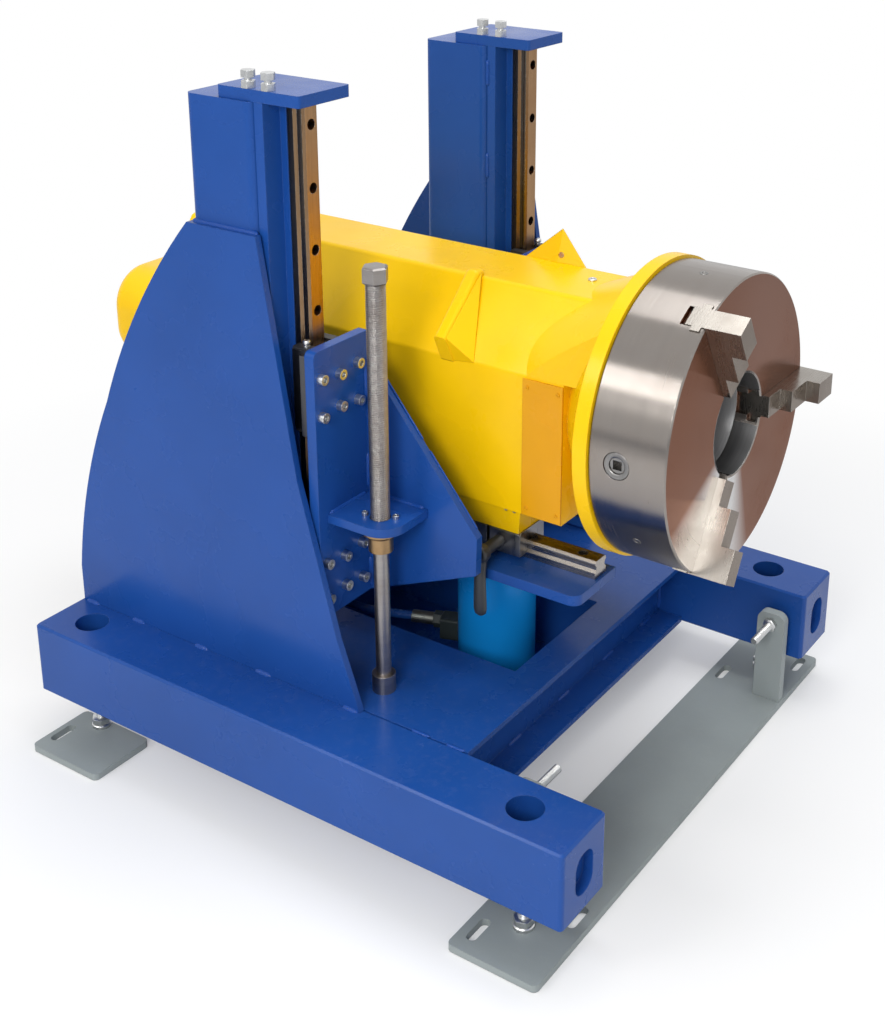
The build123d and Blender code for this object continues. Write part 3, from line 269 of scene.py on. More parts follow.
@dataclass(frozen=True)
class SharedEffect:
    """A named shader node group, built once and placed in many materials.

    Args:
        name: the group's name.
        takes: input names with their socket types and first values.
        gives: output names with their socket types.
    """

    name: str
    takes: tuple[tuple[str, str, object], ...]
    gives: tuple[tuple[str, str], ...]

    def begin(self) -> tuple[bpy.types.NodeTree, NodeSheet, object, object]:
        """Make the empty group with its interface.

        Returns:
            The tree, its sheet, the sockets that it is given and the sockets that it fills.
        """
        tree = bpy.data.node_groups.new(self.name, "ShaderNodeTree")
        for name, kind, value in self.takes:
            socket = tree.interface.new_socket(name=name, in_out="INPUT", socket_type=kind)
            socket.default_value = value
        for name, kind in self.gives:
            tree.interface.new_socket(name=name, in_out="OUTPUT", socket_type=kind)
        sheet = NodeSheet(tree)
        return tree, sheet, sheet.node("NodeGroupInput").outputs, sheet.node("NodeGroupOutput").inputs


FLOAT = "NodeSocketFloat"
COLOUR = "NodeSocketColor"
VECTOR = "NodeSocketVector"
GREY = (0.5, 0.5, 0.5, 1.0)

# Cosine between the flat normal and the rounded one where an edge begins and where it is full
EDGE_BEGINS = 0.995
EDGE_FULL = 0.86

# Cells per metre of the enamel's and the metal's noises
DRIFT_CELLS = 5.0
SMUDGE_CELLS = 9.0
STAIN_CELLS = 16.0
SPECK_CELLS = 90.0
PEEL_CELLS = 420.0

# Size of the coarse machining lines against the fine ones, and the share of each
COARSE_SCALE = 0.12
FINE_SHARE = 0.6


def soft_edge_group() -> bpy.types.NodeTree:
    """Build the edge effect: a rounded shading normal and a mask along sharp edges.

    Returns:
        The node group.
    """
    effect = SharedEffect(
        "soft_edge",
        (("Radius", FLOAT, 0.0015), ("Breakup", FLOAT, 60.0)),
        (("Normal", VECTOR), ("Edge", FLOAT)),
    )
    tree, sheet, given, put = effect.begin()
    bevel = sheet.node("ShaderNodeBevel", samples=4)
    sheet.link(given["Radius"], bevel.inputs["Radius"])
    plain = sheet.node("ShaderNodeNewGeometry").outputs["Normal"]
    alike = sheet.vector("DOT_PRODUCT", bevel.outputs["Normal"], plain).outputs["Value"]
    edge = sheet.ramp(alike, EDGE_BEGINS, EDGE_FULL)
    grit = sheet.node("ShaderNodeTexNoise")
    sheet.link(sheet.place(), grit.inputs["Vector"])
    sheet.link(given["Breakup"], grit.inputs["Scale"])
    broken = sheet.maths("MULTIPLY", edge, sheet.ramp(grit.outputs["Fac"], 0.42, 0.66))
    sheet.link(bevel.outputs["Normal"], put["Normal"])
    sheet.link(broken, put["Edge"])
    return tree


def enamel_group() -> bpy.types.NodeTree:
    """Build the enamel effect: tone drift, dust on level faces and a fine orange peel.

    Returns:
        The node group.
    """
    effect = SharedEffect(
        "enamel_skin",
        (
            ("Colour", COLOUR, GREY),
            ("Dust Colour", COLOUR, GREY),
            ("Dust", FLOAT, 0.15),
            ("Gloss", FLOAT, 0.3),
        ),
        (("Colour", COLOUR), ("Roughness", FLOAT), ("Height", FLOAT)),
    )
    tree, sheet, given, put = effect.begin()
    place = sheet.place()
    shade = sheet.node("ShaderNodeHueSaturation")
    sheet.link(given["Colour"], shade.inputs["Color"])
    sheet.link(sheet.ramp(sheet.noise(place, DRIFT_CELLS, 3.0), 0.3, 0.7, 0.92, 1.08), shade.inputs["Value"])
    upward = sheet.split(sheet.node("ShaderNodeNewGeometry").outputs["Normal"])["Z"]
    level = sheet.ramp(upward, 0.5, 1.0)
    specks = sheet.noise(place, SPECK_CELLS, 7.0, 0.75)
    dusty = sheet.maths("MULTIPLY", level, sheet.ramp(specks, 0.5, 0.8))
    dusty = sheet.maths("MULTIPLY", dusty, given["Dust"])
    smudge = sheet.ramp(sheet.noise(place, SMUDGE_CELLS), 0.35, 0.7, -0.05, 0.09)
    rough = sheet.maths("ADD", given["Gloss"], smudge)
    rough = sheet.maths("ADD", rough, sheet.maths("MULTIPLY", dusty, 0.5))
    sheet.link(sheet.blend(dusty, shade.outputs["Color"], given["Dust Colour"]), put["Colour"])
    sheet.link(rough, put["Roughness"])
    sheet.link(sheet.noise(place, PEEL_CELLS, 2.0, 0.4), put["Height"])
    return tree


def machined_group() -> bpy.types.NodeTree:
    """Build the machining marks: fine lines along stretched coordinates, with stains.

    Returns:
        The node group.
    """
    effect = SharedEffect(
        "machined_lines",
        (
            ("Vector", VECTOR, (0.0, 0.0, 0.0)),
            ("Colour", COLOUR, GREY),
            ("Stain Colour", COLOUR, GREY),
            ("Stain", FLOAT, 0.3),
            ("Gloss", FLOAT, 0.25),
            ("Contrast", FLOAT, 0.12),
        ),
        (("Colour", COLOUR), ("Roughness", FLOAT), ("Height", FLOAT)),
    )
    tree, sheet, given, put = effect.begin()
    fine = sheet.maths("MULTIPLY", sheet.noise(given["Vector"], 1.0, 3.0, 0.6), FINE_SHARE)
    coarse = sheet.maths("MULTIPLY", sheet.noise(given["Vector"], COARSE_SCALE, 2.0, 0.5), 1.0 - FINE_SHARE)
    lines = sheet.maths("ADD", fine, coarse)
    cloud = sheet.noise(sheet.place(), STAIN_CELLS, 5.0, 0.6)
    shade = sheet.node("ShaderNodeHueSaturation")
    sheet.link(given["Colour"], shade.inputs["Color"])
    swing = sheet.maths("MULTIPLY", sheet.ramp(lines, 0.35, 0.65, -1.0, 0.8), given["Contrast"])
    sheet.link(sheet.maths("ADD", swing, 1.0), shade.inputs["Value"])
    stain = sheet.maths("MULTIPLY", sheet.ramp(cloud, 0.45, 0.75), given["Stain"])
    uneven = sheet.maths("MULTIPLY", sheet.ramp(lines, 0.3, 0.7, -0.5, 0.8), given["Contrast"])
    rough = sheet.maths("ADD", given["Gloss"], uneven)
    rough = sheet.maths("ADD", rough, sheet.maths("MULTIPLY", stain, 0.25))
    sheet.link(sheet.blend(stain, shade.outputs["Color"], given["Stain Colour"]), put["Colour"])
    sheet.link(rough, put["Roughness"])
    sheet.link(lines, put["Height"])
    return tree


class Effects:
    """Holds the shared node groups and places them in a material."""

    def __init__(self) -> None:
        """Build each group once."""
        self.groups = {"soft_edge": soft_edge_group(), "enamel": enamel_group(), "machined": machined_group()}

    def place(self, sheet: NodeSheet, name: str, **values: object) -> object:
        """Place a group node and set its inputs.

        Args:
            sheet: the material's sheet.
            name: which group.
            **values: input names, with _ for a space, and their values.

        Returns:
            The group's output sockets.
        """
        made = sheet.node("ShaderNodeGroup", node_tree=self.groups[name])
        for key, value in values.items():
            sheet.feed(made.inputs[key.replace("_", " ")], value)
        return made.outputs


def new_material(name: str) -> tuple[bpy.types.Material, NodeSheet, object]:
    """Make a material with the plain shader in it.

    Args:
        name: the material's name.

    Returns:
        The material, its sheet and its shader's input sockets.
    """
    made = bpy.data.materials.new(name)
    made.use_nodes = True
    return made, NodeSheet(made.node_tree), made.node_tree.nodes["Principled BSDF"].inputs


# Finishes

CHUCK_CENTRE = (0.43, 0.0, 0.581)
ENAMEL_DUST = (0.42, 0.42, 0.42)
PLASTIC_DUST = (0.3, 0.3, 0.3)
RUBBED_STEEL = (0.85, 0.84, 0.82)

# Radius of the rounded edges in metres and cells per metre that break their wear up
ENAMEL_EDGE = {"Radius": 0.0016, "Breakup": 70.0}
STEEL_EDGE = {"Radius": 0.0007, "Breakup": 160.0}
STEEL_WEAR = 0.5

# Share of the relief that shows
PEEL_STRENGTH = 0.5
LINE_STRENGTH = 0.35
PEBBLE_STRENGTH = 0.6

# Squared part of the normal at which a face is wholly square to an axis
SQUARE_ON = 0.9

# Cosine from the fan's middle where the painted highlight fan on a turned face begins and where it is full,
# then the colour of that painted highlight
FAN_EDGE = 0.76
FAN_CORE = 0.93
PAINTED_FAN_HIGHLIGHT = (0.64, 0.63, 0.62)


@dataclass(frozen=True)
class Enamel:
    """A sprayed enamel finish.

    Args:
        name: the material's name.
        colour: linear base colour.
        gloss: roughness of the clean paint.
        dust: share of dust on level faces.
        worn: colour that shows on rubbed edges.
        wear: share of the edges that are rubbed.
        peel: height of the orange peel in metres.
        specular: strength of the paint's own reflection.
        coat: share of the clear coat.
        coat_gloss: roughness of the clear coat.
    """

    name: str
    colour: Colour
    gloss: float = 0.26
    dust: float = 0.1
    worn: Colour = (0.06, 0.14, 0.42)
    wear: float = 0.3
    peel: float = 0.00004
    specular: float = 0.22
    coat: float = 0.03
    coat_gloss: float = 0.1

    def material(self, effects: Effects) -> bpy.types.Material:
        """Build the enamel's material.

        Args:
            effects: the shared node groups.

        Returns:
            The material.
        """
        made, sheet, shader = new_material(self.name)
        skin = effects.place(
            sheet, "enamel", Colour=self.colour, Dust_Colour=ENAMEL_DUST, Dust=self.dust, Gloss=self.gloss
        )
        edge = effects.place(sheet, "soft_edge", **ENAMEL_EDGE)
        mask = sheet.maths("MULTIPLY", edge["Edge"], self.wear)
        sheet.link(sheet.blend(mask, skin["Colour"], self.worn), shader["Base Color"])
        sheet.link(skin["Roughness"], shader["Roughness"])
        sheet.link(sheet.bump(skin["Height"], PEEL_STRENGTH, self.peel, edge["Normal"]), shader["Normal"])
        shader["Specular IOR Level"].default_value = self.specular
        shader["Coat Weight"].default_value = self.coat
        shader["Coat Roughness"].default_value = self.coat_gloss
        return made


@dataclass(frozen=True)
class BareMetal:
    """A machined or plated metal finish.

    Args:
        name: the material's name.
        colour: linear base colour.
        gloss: roughness.
        grain: how the surface was machined.
        stretch: lines per metre along each axis, small along the lines.
        stain: share of the stains.
        stain_colour: the stains' colour.
        anisotropy: stretch of the highlight.
        relief: depth of the lines in metres.
        contrast: how much the lines change the tone.
        face_axis: axis whose square faces get a painted reflection.
        painted_reflection: the painted reflection's colour, which multiplies the metal's colour, or None.
        face_onset: squared part of the normal along the axis at which the painted reflection begins.
        painted_highlight_way: direction from the chuck's centre of a painted highlight fan on a turned face,
            or None.
    """

    name: str
    colour: Colour
    gloss: float = 0.28
    grain: Grain = Grain.PLAIN
    stretch: Point = (300.0, 300.0, 300.0)
    stain: float = 0.25
    stain_colour: Colour = (0.20, 0.15, 0.11)
    anisotropy: float = 0.0
    relief: float = 0.00002
    contrast: float = 0.12
    face_axis: str = "X"
    painted_reflection: Colour | None = None
    face_onset: float = 0.7
    painted_highlight_way: Point | None = None

    def coordinates(self, sheet: NodeSheet) -> object:
        """Make the coordinates that the machining lines follow.

        Args:
            sheet: the material's sheet.

        Returns:
            A vector socket, for turned grain with the distance from the chuck's axis as its Y.
        """
        place = sheet.place()
        if self.grain is Grain.TURNED:
            part = sheet.split(sheet.vector("SUBTRACT", place, CHUCK_CENTRE).outputs["Vector"])
            squares = [sheet.maths("POWER", part[axis], 2.0) for axis in ("Y", "Z")]
            join = sheet.node("ShaderNodeCombineXYZ")
            sheet.link(part["X"], join.inputs["X"])
            sheet.link(sheet.maths("POWER", sheet.maths("ADD", *squares), 0.5), join.inputs["Y"])
            place = join.outputs["Vector"]
        return sheet.vector("MULTIPLY", place, self.stretch).outputs["Vector"]

    def paint_reflection(self, sheet: NodeSheet, tone: object) -> object:
        """Lay the painted reflection tint and the painted highlight fan on the faces square to `face_axis`.

        Args:
            sheet: the material's sheet.
            tone: the clean metal's colour socket.

        Returns:
            The colour socket with the painted reflection.
        """
        part = sheet.split(sheet.node("ShaderNodeNewGeometry").outputs["Normal"])[self.face_axis]
        on_face = sheet.ramp(sheet.maths("POWER", part, 2.0), self.face_onset, SQUARE_ON)
        # Painted reflection: the faces square to face_axis are multiplied by painted_reflection, darker and
        # tinted
        tone = sheet.blend(on_face, tone, self.painted_reflection, "MULTIPLY")
        # Painted highlight: a bright fan on the turned face, toward painted_highlight_way from the chuck's
        # centre
        if self.painted_highlight_way:
            from_centre = sheet.vector("SUBTRACT", sheet.place(), CHUCK_CENTRE).outputs["Vector"]
            in_face = sheet.vector("MULTIPLY", from_centre, (0.0, 1.0, 1.0)).outputs["Vector"]
            way = sheet.vector("NORMALIZE", in_face).outputs["Vector"]
            along = sheet.vector("DOT_PRODUCT", way, self.painted_highlight_way).outputs["Value"]
            lit = sheet.maths("MULTIPLY", on_face, sheet.ramp(along, FAN_EDGE, FAN_CORE))
            tone = sheet.blend(lit, tone, PAINTED_FAN_HIGHLIGHT)
        return tone

    def material(self, effects: Effects) -> bpy.types.Material:
        """Build the metal's material.

        Args:
            effects: the shared node groups.

        Returns:
            The material.
        """
        made, sheet, shader = new_material(self.name)
        shader["Metallic"].default_value = 1.0
        shader["Anisotropic"].default_value = self.anisotropy
        marks = effects.place(
            sheet,
            "machined",
            Vector=self.coordinates(sheet),
            Colour=self.colour,
            Stain_Colour=self.stain_colour,
            Stain=self.stain,
            Gloss=self.gloss,
            Contrast=self.contrast,
        )
        # Painted reflection and painted highlight laid over the machined colour
        tone = self.paint_reflection(sheet, marks["Colour"]) if self.painted_reflection else marks["Colour"]
        edge = effects.place(sheet, "soft_edge", **STEEL_EDGE)
        rubbed = sheet.maths("MULTIPLY", edge["Edge"], STEEL_WEAR)
        sheet.link(sheet.blend(rubbed, tone, RUBBED_STEEL), shader["Base Color"])
        sheet.link(marks["Roughness"], shader["Roughness"])
        sheet.link(sheet.bump(marks["Height"], LINE_STRENGTH, self.relief, edge["Normal"]), shader["Normal"])
        if self.anisotropy > 0:
            shader["Anisotropic Rotation"].default_value = 0.25
            tangent = sheet.node("ShaderNodeTangent", direction_type="RADIAL", axis="X")
            sheet.link(tangent.outputs["Tangent"], shader["Tangent"])
        return made


@dataclass(frozen=True)
class Moulded:
    """A moulded plastic or rubber finish.

    Args:
        name: the material's name.
        colour: linear base colour.
        gloss: roughness.
        dust: share of dust on level faces.
        pebble: cells per metre of the fine texture.
        relief: height of the texture in metres.
    """

    name: str
    colour: Colour
    gloss: float = 0.45
    dust: float = 0.25
    pebble: float = 900.0
    relief: float = 0.00005

    def material(self, effects: Effects) -> bpy.types.Material:
        """Build the moulded material.

        Args:
            effects: the shared node groups.

        Returns:
            The material.
        """
        made, sheet, shader = new_material(self.name)
        skin = effects.place(
            sheet, "enamel", Colour=self.colour, Dust_Colour=PLASTIC_DUST, Dust=self.dust, Gloss=self.gloss
        )
        pebbles = sheet.noise(sheet.place(), self.pebble, 2.0)
        sheet.link(skin["Colour"], shader["Base Color"])
        sheet.link(skin["Roughness"], shader["Roughness"])
        sheet.link(sheet.bump(pebbles, PEBBLE_STRENGTH, self.relief), shader["Normal"])
        return made


FINISHES = (
    Enamel("frame_blue", (0.011, 0.067, 0.295), dust=0.05, worn=(0.05, 0.12, 0.36)),
    Enamel("head_yellow", (0.92, 0.555, 0.002), gloss=0.28, dust=0.04, worn=(0.95, 0.66, 0.05), wear=0.25),
    Enamel("cover_amber", (0.74, 0.34, 0.002), gloss=0.32, dust=0.04, worn=(0.9, 0.5, 0.04), wear=0.25),
    Enamel("plate_grey", (0.30, 0.335, 0.335), gloss=0.45, dust=0.15, worn=(0.42, 0.45, 0.45), wear=0.4),
    Enamel("cylinder_blue", (0.006, 0.25, 0.68), gloss=0.22, dust=0.03, worn=(0.05, 0.25, 0.5), wear=0.2),
    Enamel("weld_blue", (0.012, 0.068, 0.32), gloss=0.16, dust=0.03, wear=0.0),
    Enamel("weld_yellow", (0.92, 0.55, 0.002), gloss=0.22, dust=0.03, wear=0.0),
    Enamel("motor_grey", (0.2, 0.21, 0.22), gloss=0.45, dust=0.2),
    Enamel("valve_dark", (0.03, 0.04, 0.04), gloss=0.35, dust=0.1, worn=(0.2, 0.2, 0.2), wear=0.5),
    BareMetal(
        "rail_steel",
        (0.42, 0.245, 0.12),
        gloss=0.26,
        grain=Grain.GROUND,
        stretch=(900.0, 900.0, 12.0),
        stain=0.4,
        stain_colour=(0.30, 0.15, 0.06),
        # Painted reflection: the rail's sides facing Y are darkened to a cool dark grey
        face_axis="Y",
        painted_reflection=(0.26, 0.38, 0.62),
        face_onset=0.1,
    ),
    BareMetal(
        "bed_rail_steel",
        (0.40, 0.37, 0.34),
        gloss=0.24,
        grain=Grain.GROUND,
        stretch=(12.0, 900.0, 900.0),
        stain=0.3,
        # Painted reflection: the bed rails' tops are darkened to a dark brown
        face_axis="Z",
        painted_reflection=(0.42, 0.38, 0.34),
    ),
    BareMetal("block_steel", (0.36, 0.35, 0.34), gloss=0.3, grain=Grain.GROUND, stretch=(700.0, 700.0, 25.0)),
    # Painted shade: a dark copy of the blocks' steel, for runner blocks that sit in shade
    BareMetal(
        "runner_steel_painted_shade",
        (0.10, 0.10, 0.105),
        gloss=0.34,
        grain=Grain.GROUND,
        stretch=(700.0, 700.0, 25.0),
        stain_colour=(0.05, 0.05, 0.05),
    ),
    BareMetal("bolt_steel", (0.62, 0.63, 0.63), gloss=0.3, stretch=(500.0, 500.0, 500.0), stain=0.15),
    BareMetal("spindle_steel", (0.33, 0.31, 0.30), gloss=0.34, stretch=(60.0, 60.0, 1500.0), stain=0.3),
    BareMetal("rod_chrome", (0.66, 0.67, 0.69), gloss=0.12, stretch=(200.0, 200.0, 1200.0), stain=0.08),
    BareMetal(
        "spindle_bronze",
        (0.36, 0.235, 0.12),
        gloss=0.33,
        stretch=(400.0, 400.0, 1500.0),
        stain=0.4,
        stain_colour=(0.20, 0.11, 0.05),
    ),
    BareMetal("ferrule_grey", (0.24, 0.26, 0.24), gloss=0.42, stretch=(600.0, 600.0, 600.0), stain=0.4),
    BareMetal(
        "chuck_steel",
        (0.28, 0.255, 0.235),
        gloss=0.23,
        grain=Grain.TURNED,
        stretch=(800.0, 260.0, 0.0),
        stain=0.15,
        stain_colour=(0.24, 0.16, 0.11),
        anisotropy=0.95,
        relief=0.000002,
        contrast=0.055,
        # Painted reflection: the face is tinted a warm dark brown; painted highlight: a bright fan toward the
        # face's lower near side
        painted_reflection=(0.66, 0.25, 0.11),
        painted_highlight_way=(0.0, -0.42, -0.907),
    ),
    BareMetal(
        "jaw_steel",
        (0.34, 0.315, 0.285),
        gloss=0.26,
        grain=Grain.GROUND,
        stretch=(900.0, 60.0, 60.0),
        stain=0.3,
        stain_colour=(0.16, 0.12, 0.09),
        relief=0.000004,
        contrast=0.08,
        # Painted reflection: the jaws' faces square to X are darkened and warmed
        painted_reflection=(0.62, 0.54, 0.48),
    ),
    BareMetal(
        "sleeve_steel",
        (0.30, 0.30, 0.305),
        gloss=0.4,
        grain=Grain.TURNED,
        stretch=(700.0, 700.0, 0.0),
        stain=0.1,
    ),
    BareMetal("pinion_steel", (0.24, 0.235, 0.23), gloss=0.34, stretch=(700.0, 700.0, 700.0), stain=0.4),
    BareMetal(
        "bearing_steel",
        (0.20, 0.20, 0.205),
        gloss=0.36,
        grain=Grain.TURNED,
        stretch=(900.0, 900.0, 0.0),
        stain=0.2,
    ),
    Moulded("lever_black", (0.030, 0.033, 0.037), gloss=0.36),
    Moulded("seal_black", (0.018, 0.018, 0.02), gloss=0.5),
    Moulded("hose_blue", (0.015, 0.075, 0.30), gloss=0.3, pebble=700.0),
)


# Mesh helpers

SIDES = (-1, 1)
WELD_SMOOTH = 60.0

# Legs of the welds, from the heaviest to a thin seam
HEAVY_LEG = 0.0055
FULL_LEG = 0.0045
PLAIN_LEG = 0.004
TACK_LEG = 0.0035
STITCH_LEG = 0.003
SEAM_LEG = 0.0016


@dataclass
class Mesh:
    """Vertices and faces that grow piece by piece into one object.

    Args:
        verts: corner points so far.
        faces: corner numbers of each face.
    """

    verts: list[Point] = field(default_factory=list)
    faces: list[tuple[int, ...]] = field(default_factory=list)

    def add(self, verts: list[Point], faces: list[tuple[int, ...]], matrix: Matrix | None = None) -> None:
        """Append a piece.

        Args:
            verts: its points.
            faces: its faces, numbered from 0.
            matrix: where it goes, or None to keep it in place.
        """
        first = len(self.verts)
        for point in verts:
            placed = matrix @ Vector(point) if matrix else Vector(point)
            self.verts.append(tuple(placed))
        self.faces += [tuple(first + corner for corner in face) for face in faces]

    def rings(self, rings: list[list[Point]], matrix: Matrix | None = None, closed: bool = True) -> None:
        """Append a skin over rings of equal length.

        Args:
            rings: the rings in order, each turning the same way.
            matrix: where the piece goes.
            closed: whether the ends get caps.
        """
        count = len(rings[0])
        verts = [point for ring_points in rings for point in ring_points]
        faces = []
        for row in range(len(rings) - 1):
            low, high = row * count, (row + 1) * count
            for corner in range(count):
                after = (corner + 1) % count
                faces.append((low + corner, low + after, high + after, high + corner))
        if closed:
            faces.append(tuple(reversed(range(count))))
            faces.append(tuple(range((len(rings) - 1) * count, len(rings) * count)))
        self.add(verts, faces, matrix)

    def build(
        self, name: str, finish: bpy.types.Material, body: str, slot: str, smooth: float = 40.0
    ) -> bpy.types.Object:
        """Make the object and let it ride on a body.

        Args:
            name: the object's name.
            finish: its material.
            body: the body that carries it.
            slot: the record's material slot; not used.
            smooth: angle in degrees under which faces shade smoothly.

        Returns:
            The object.
        """
        data = bpy.data.meshes.new(name)
        data.from_pydata(self.verts, [], self.faces)
        work = bmesh.new()
        work.from_mesh(data)
        bmesh.ops.recalc_face_normals(work, faces=work.faces)
        work.to_mesh(data)
        work.free()
        data.shade_smooth()
        data.set_sharp_from_angle(angle=math.radians(smooth))
        made = bpy.data.objects.new(name, data)
        bpy.context.scene.collection.objects.link(made)
        data.materials.append(finish)
        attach(made, body)
        LOG.info("built %s on %s: %d faces", name, body, len(self.faces))
        return made


def ring(radius: float, height: float, count: int = 24, turn: float = 0.0) -> list[Point]:
    """Points of a ring about Z.

    Args:
        radius: its radius.
        height: its Z.
        count: number of points.
        turn: angle of the first point in radians.

    Returns:
        The points.
    """
    steps = [turn + 2 * math.pi * n / count for n in range(count)]
    return [(radius * math.cos(step), radius * math.sin(step), height) for step in steps]


def turned(profile: Profile, count: int = 24) -> list[list[Point]]:
    """Rings of a turned piece about Z.

    Args:
        profile: radius and height of each ring.
        count: number of points in a ring.

    Returns:
        The rings.
    """
    return [ring(radius, height, count) for radius, height in profile]


def facing(at: Point, direction: Point) -> Matrix:
    """Matrix that brings +Z to a direction at a place.

    Args:
        at: where the piece's foot goes.
        direction: where its +Z points.

    Returns:
        The matrix.
    """
    turn = Vector((0, 0, 1)).rotation_difference(Vector(direction).normalized())
    return Matrix.Translation(Vector(at)) @ turn.to_matrix().to_4x4()


@dataclass(frozen=True)
class CapScrew:
    """A socket cap or button screw seen from its head.

    Args:
        radius: head radius.
        height: head height.
        socket: radius of the key's socket.
        dome: how far the rim drops below the top.
    """

    radius: float
    height: float
    socket: float
    dome: float = 0.0004

    def add_to(self, mesh: Mesh, at: Point, direction: Point) -> None:
        """Append the head to a mesh.

        Args:
            mesh: the mesh that collects the screws.
            at: centre of the seat.
            direction: the way that the head faces.
        """
        lip = 0.0002
        profile = (
            (self.radius, 0.0),
            (self.radius, self.height - self.dome),
            (self.radius - self.dome, self.height),
            (self.socket * 1.05, self.height),
            (self.socket, self.height - lip),
            (self.socket, self.height * 0.45),
        )
        mesh.rings(turned(profile), facing(at, direction))


@dataclass(frozen=True)
class Hexagon:
    """A hexagon head or nut with chamfered ends.

    Args:
        width: across the flats.
        chamfer: height of the chamfer.
    """

    width: float
    chamfer: float

    def rings(self, low: float, high: float, turn: float = 0.0) -> list[list[Point]]:
        """Rings of the hexagon about Z.

        Args:
            low: Z of its foot.
            high: Z of its top.
            turn: angle of the first corner in radians.

        Returns:
            The rings.
        """
        flat, corner = self.width / 2, self.width / math.sqrt(3)
        heights = ((flat, low), (corner, low + self.chamfer), (corner, high - self.chamfer), (flat, high))
        return [ring(radius, height, 6, turn) for radius, height in heights]


@dataclass(frozen=True)
class Thread:
    """A screw thread, trapezoidal in section.

    Args:
        radius: outer radius.
        depth: depth of the groove.
        lead: rise of one turn.
        starts: number of grooves side by side.
        corners: points round one ring.
        rows: rings from one groove to the next.
    """

    radius: float
    depth: float
    lead: float
    starts: int = 1
    corners: int = 20
    rows: int = 8

    def reach(self, phase: float) -> float:
        """Radius at a share of the way from one crest to the next: crest, flank, root, flank."""
        crest = min(1.0, max(0.0, abs(phase - 0.5) * 5.0 - 0.75))
        return self.radius - self.depth * (1.0 - crest)

    def rings(self, low: float, high: float) -> list[list[Point]]:
        """Rings of the thread about Z.

        Args:
            low: Z of the lower end.
            high: Z of the upper end.

        Returns:
            The rings from low to high.
        """
        rows = int((high - low) / self.lead * self.starts * self.rows)
        rings = []
        for row in range(rows + 1):
            height = low + (high - low) * row / rows
            points = []
            for corner in range(self.corners):
                turn = 2 * math.pi * corner / self.corners
                turns = (height - low) / self.lead
                reach = self.reach((self.starts * turns - self.starts * corner / self.corners) % 1.0)
                points.append((reach * math.cos(turn), reach * math.sin(turn), height))
            rings.append(points)
        return rings


@dataclass(frozen=True)
class WeldBead:
    """A fillet weld laid along a line, with the ripples of its puddle.

    Args:
        start: first point on the root line.
        end: last point on the root line.
        size: leg of the fillet.
        out: direction that the bead faces.
        pitch: distance from one ripple to the next.
        step: distance from one ring to the next.
        corners: points round one ring.
    """

    start: Point
    end: Point
    size: float
    out: Point
    pitch: float = 0.0048
    step: float = 0.0016
    corners: int = 8

    def reach(self, at: float, length: float) -> float:
        """Leg of the bead at a distance from its start: rippled, and rounded off at both ends."""
        ripple = 0.5 + 0.5 * math.cos(2 * math.pi * at / self.pitch)
        end_drop = min(1.0, math.sqrt(min(at, length - at) / (1.2 * self.size) + 0.02))
        return self.size * (0.86 + 0.14 * ripple) * end_drop

    def add_to(self, mesh: Mesh) -> None:
        """Append the bead to a mesh."""
        first = Vector(self.start)
        along = Vector(self.end) - first
        length = along.length
        along.normalize()
        out = Vector(self.out).normalized()
        side = along.cross(out)
        flatness = 0.72
        rows = max(6, int(length / self.step))
        rings = []
        for row in range(rows + 1):
            at = length * row / rows
            reach = self.reach(at, length)
            points = []
            for corner in range(self.corners):
                turn = 2 * math.pi * corner / self.corners
                across = side * (reach * math.sin(turn)) + out * (flatness * reach * math.cos(turn))
                points.append(tuple(first + along * at + across))
            rings.append(points)
        mesh.rings(rings)


def straight(axis: str, span: Pair, at: Pair, size: float, out: Point) -> WeldBead:
    """Make a bead that runs parallel to an axis.

    Args:
        axis: x, y or z.
        span: where it begins and ends on that axis.
        at: its other two coordinates, in the order of the axes.
        size: leg of the fillet.
        out: direction that the bead faces.

    Returns:
        The bead.
    """
    place = "xyz".index(axis)
    start, end = ((*at[:place], value, *at[place:]) for value in span)
    return WeldBead(start, end, size, out)


def lay_welds(name: str, beads: list[WeldBead], finish: bpy.types.Material, body: str, slot: str) -> None:
    """Build one object from a list of beads.

    Args:
        name: the object's name.
        beads: the beads.
        finish: painted weld finish.
        body: the body that carries them.
        slot: the record's material slot.
    """
    mesh = Mesh()
    for bead in beads:
        bead.add_to(mesh)
    mesh.build(name, finish, body, slot, WELD_SMOOTH)


def dress(frame: dict, finishes: dict[str, bpy.types.Material], table: dict[str, str]) -> None:
    """Give CAD nodes their materials.

    Args:
        frame: the loaded frame.
        finishes: materials by name.
        table: node names, parted by spaces, to finish name.
    """
    for nodes, name in table.items():
        for node in nodes.split():
            thing = frame["nodes"][node]
            if not thing.material_slots:
                thing.data.materials.append(finishes[name])
            for slot in thing.material_slots:
                slot.material = finishes[name]
            LOG.info("dressed %s in %s", node, name)


# Sub-assemblies


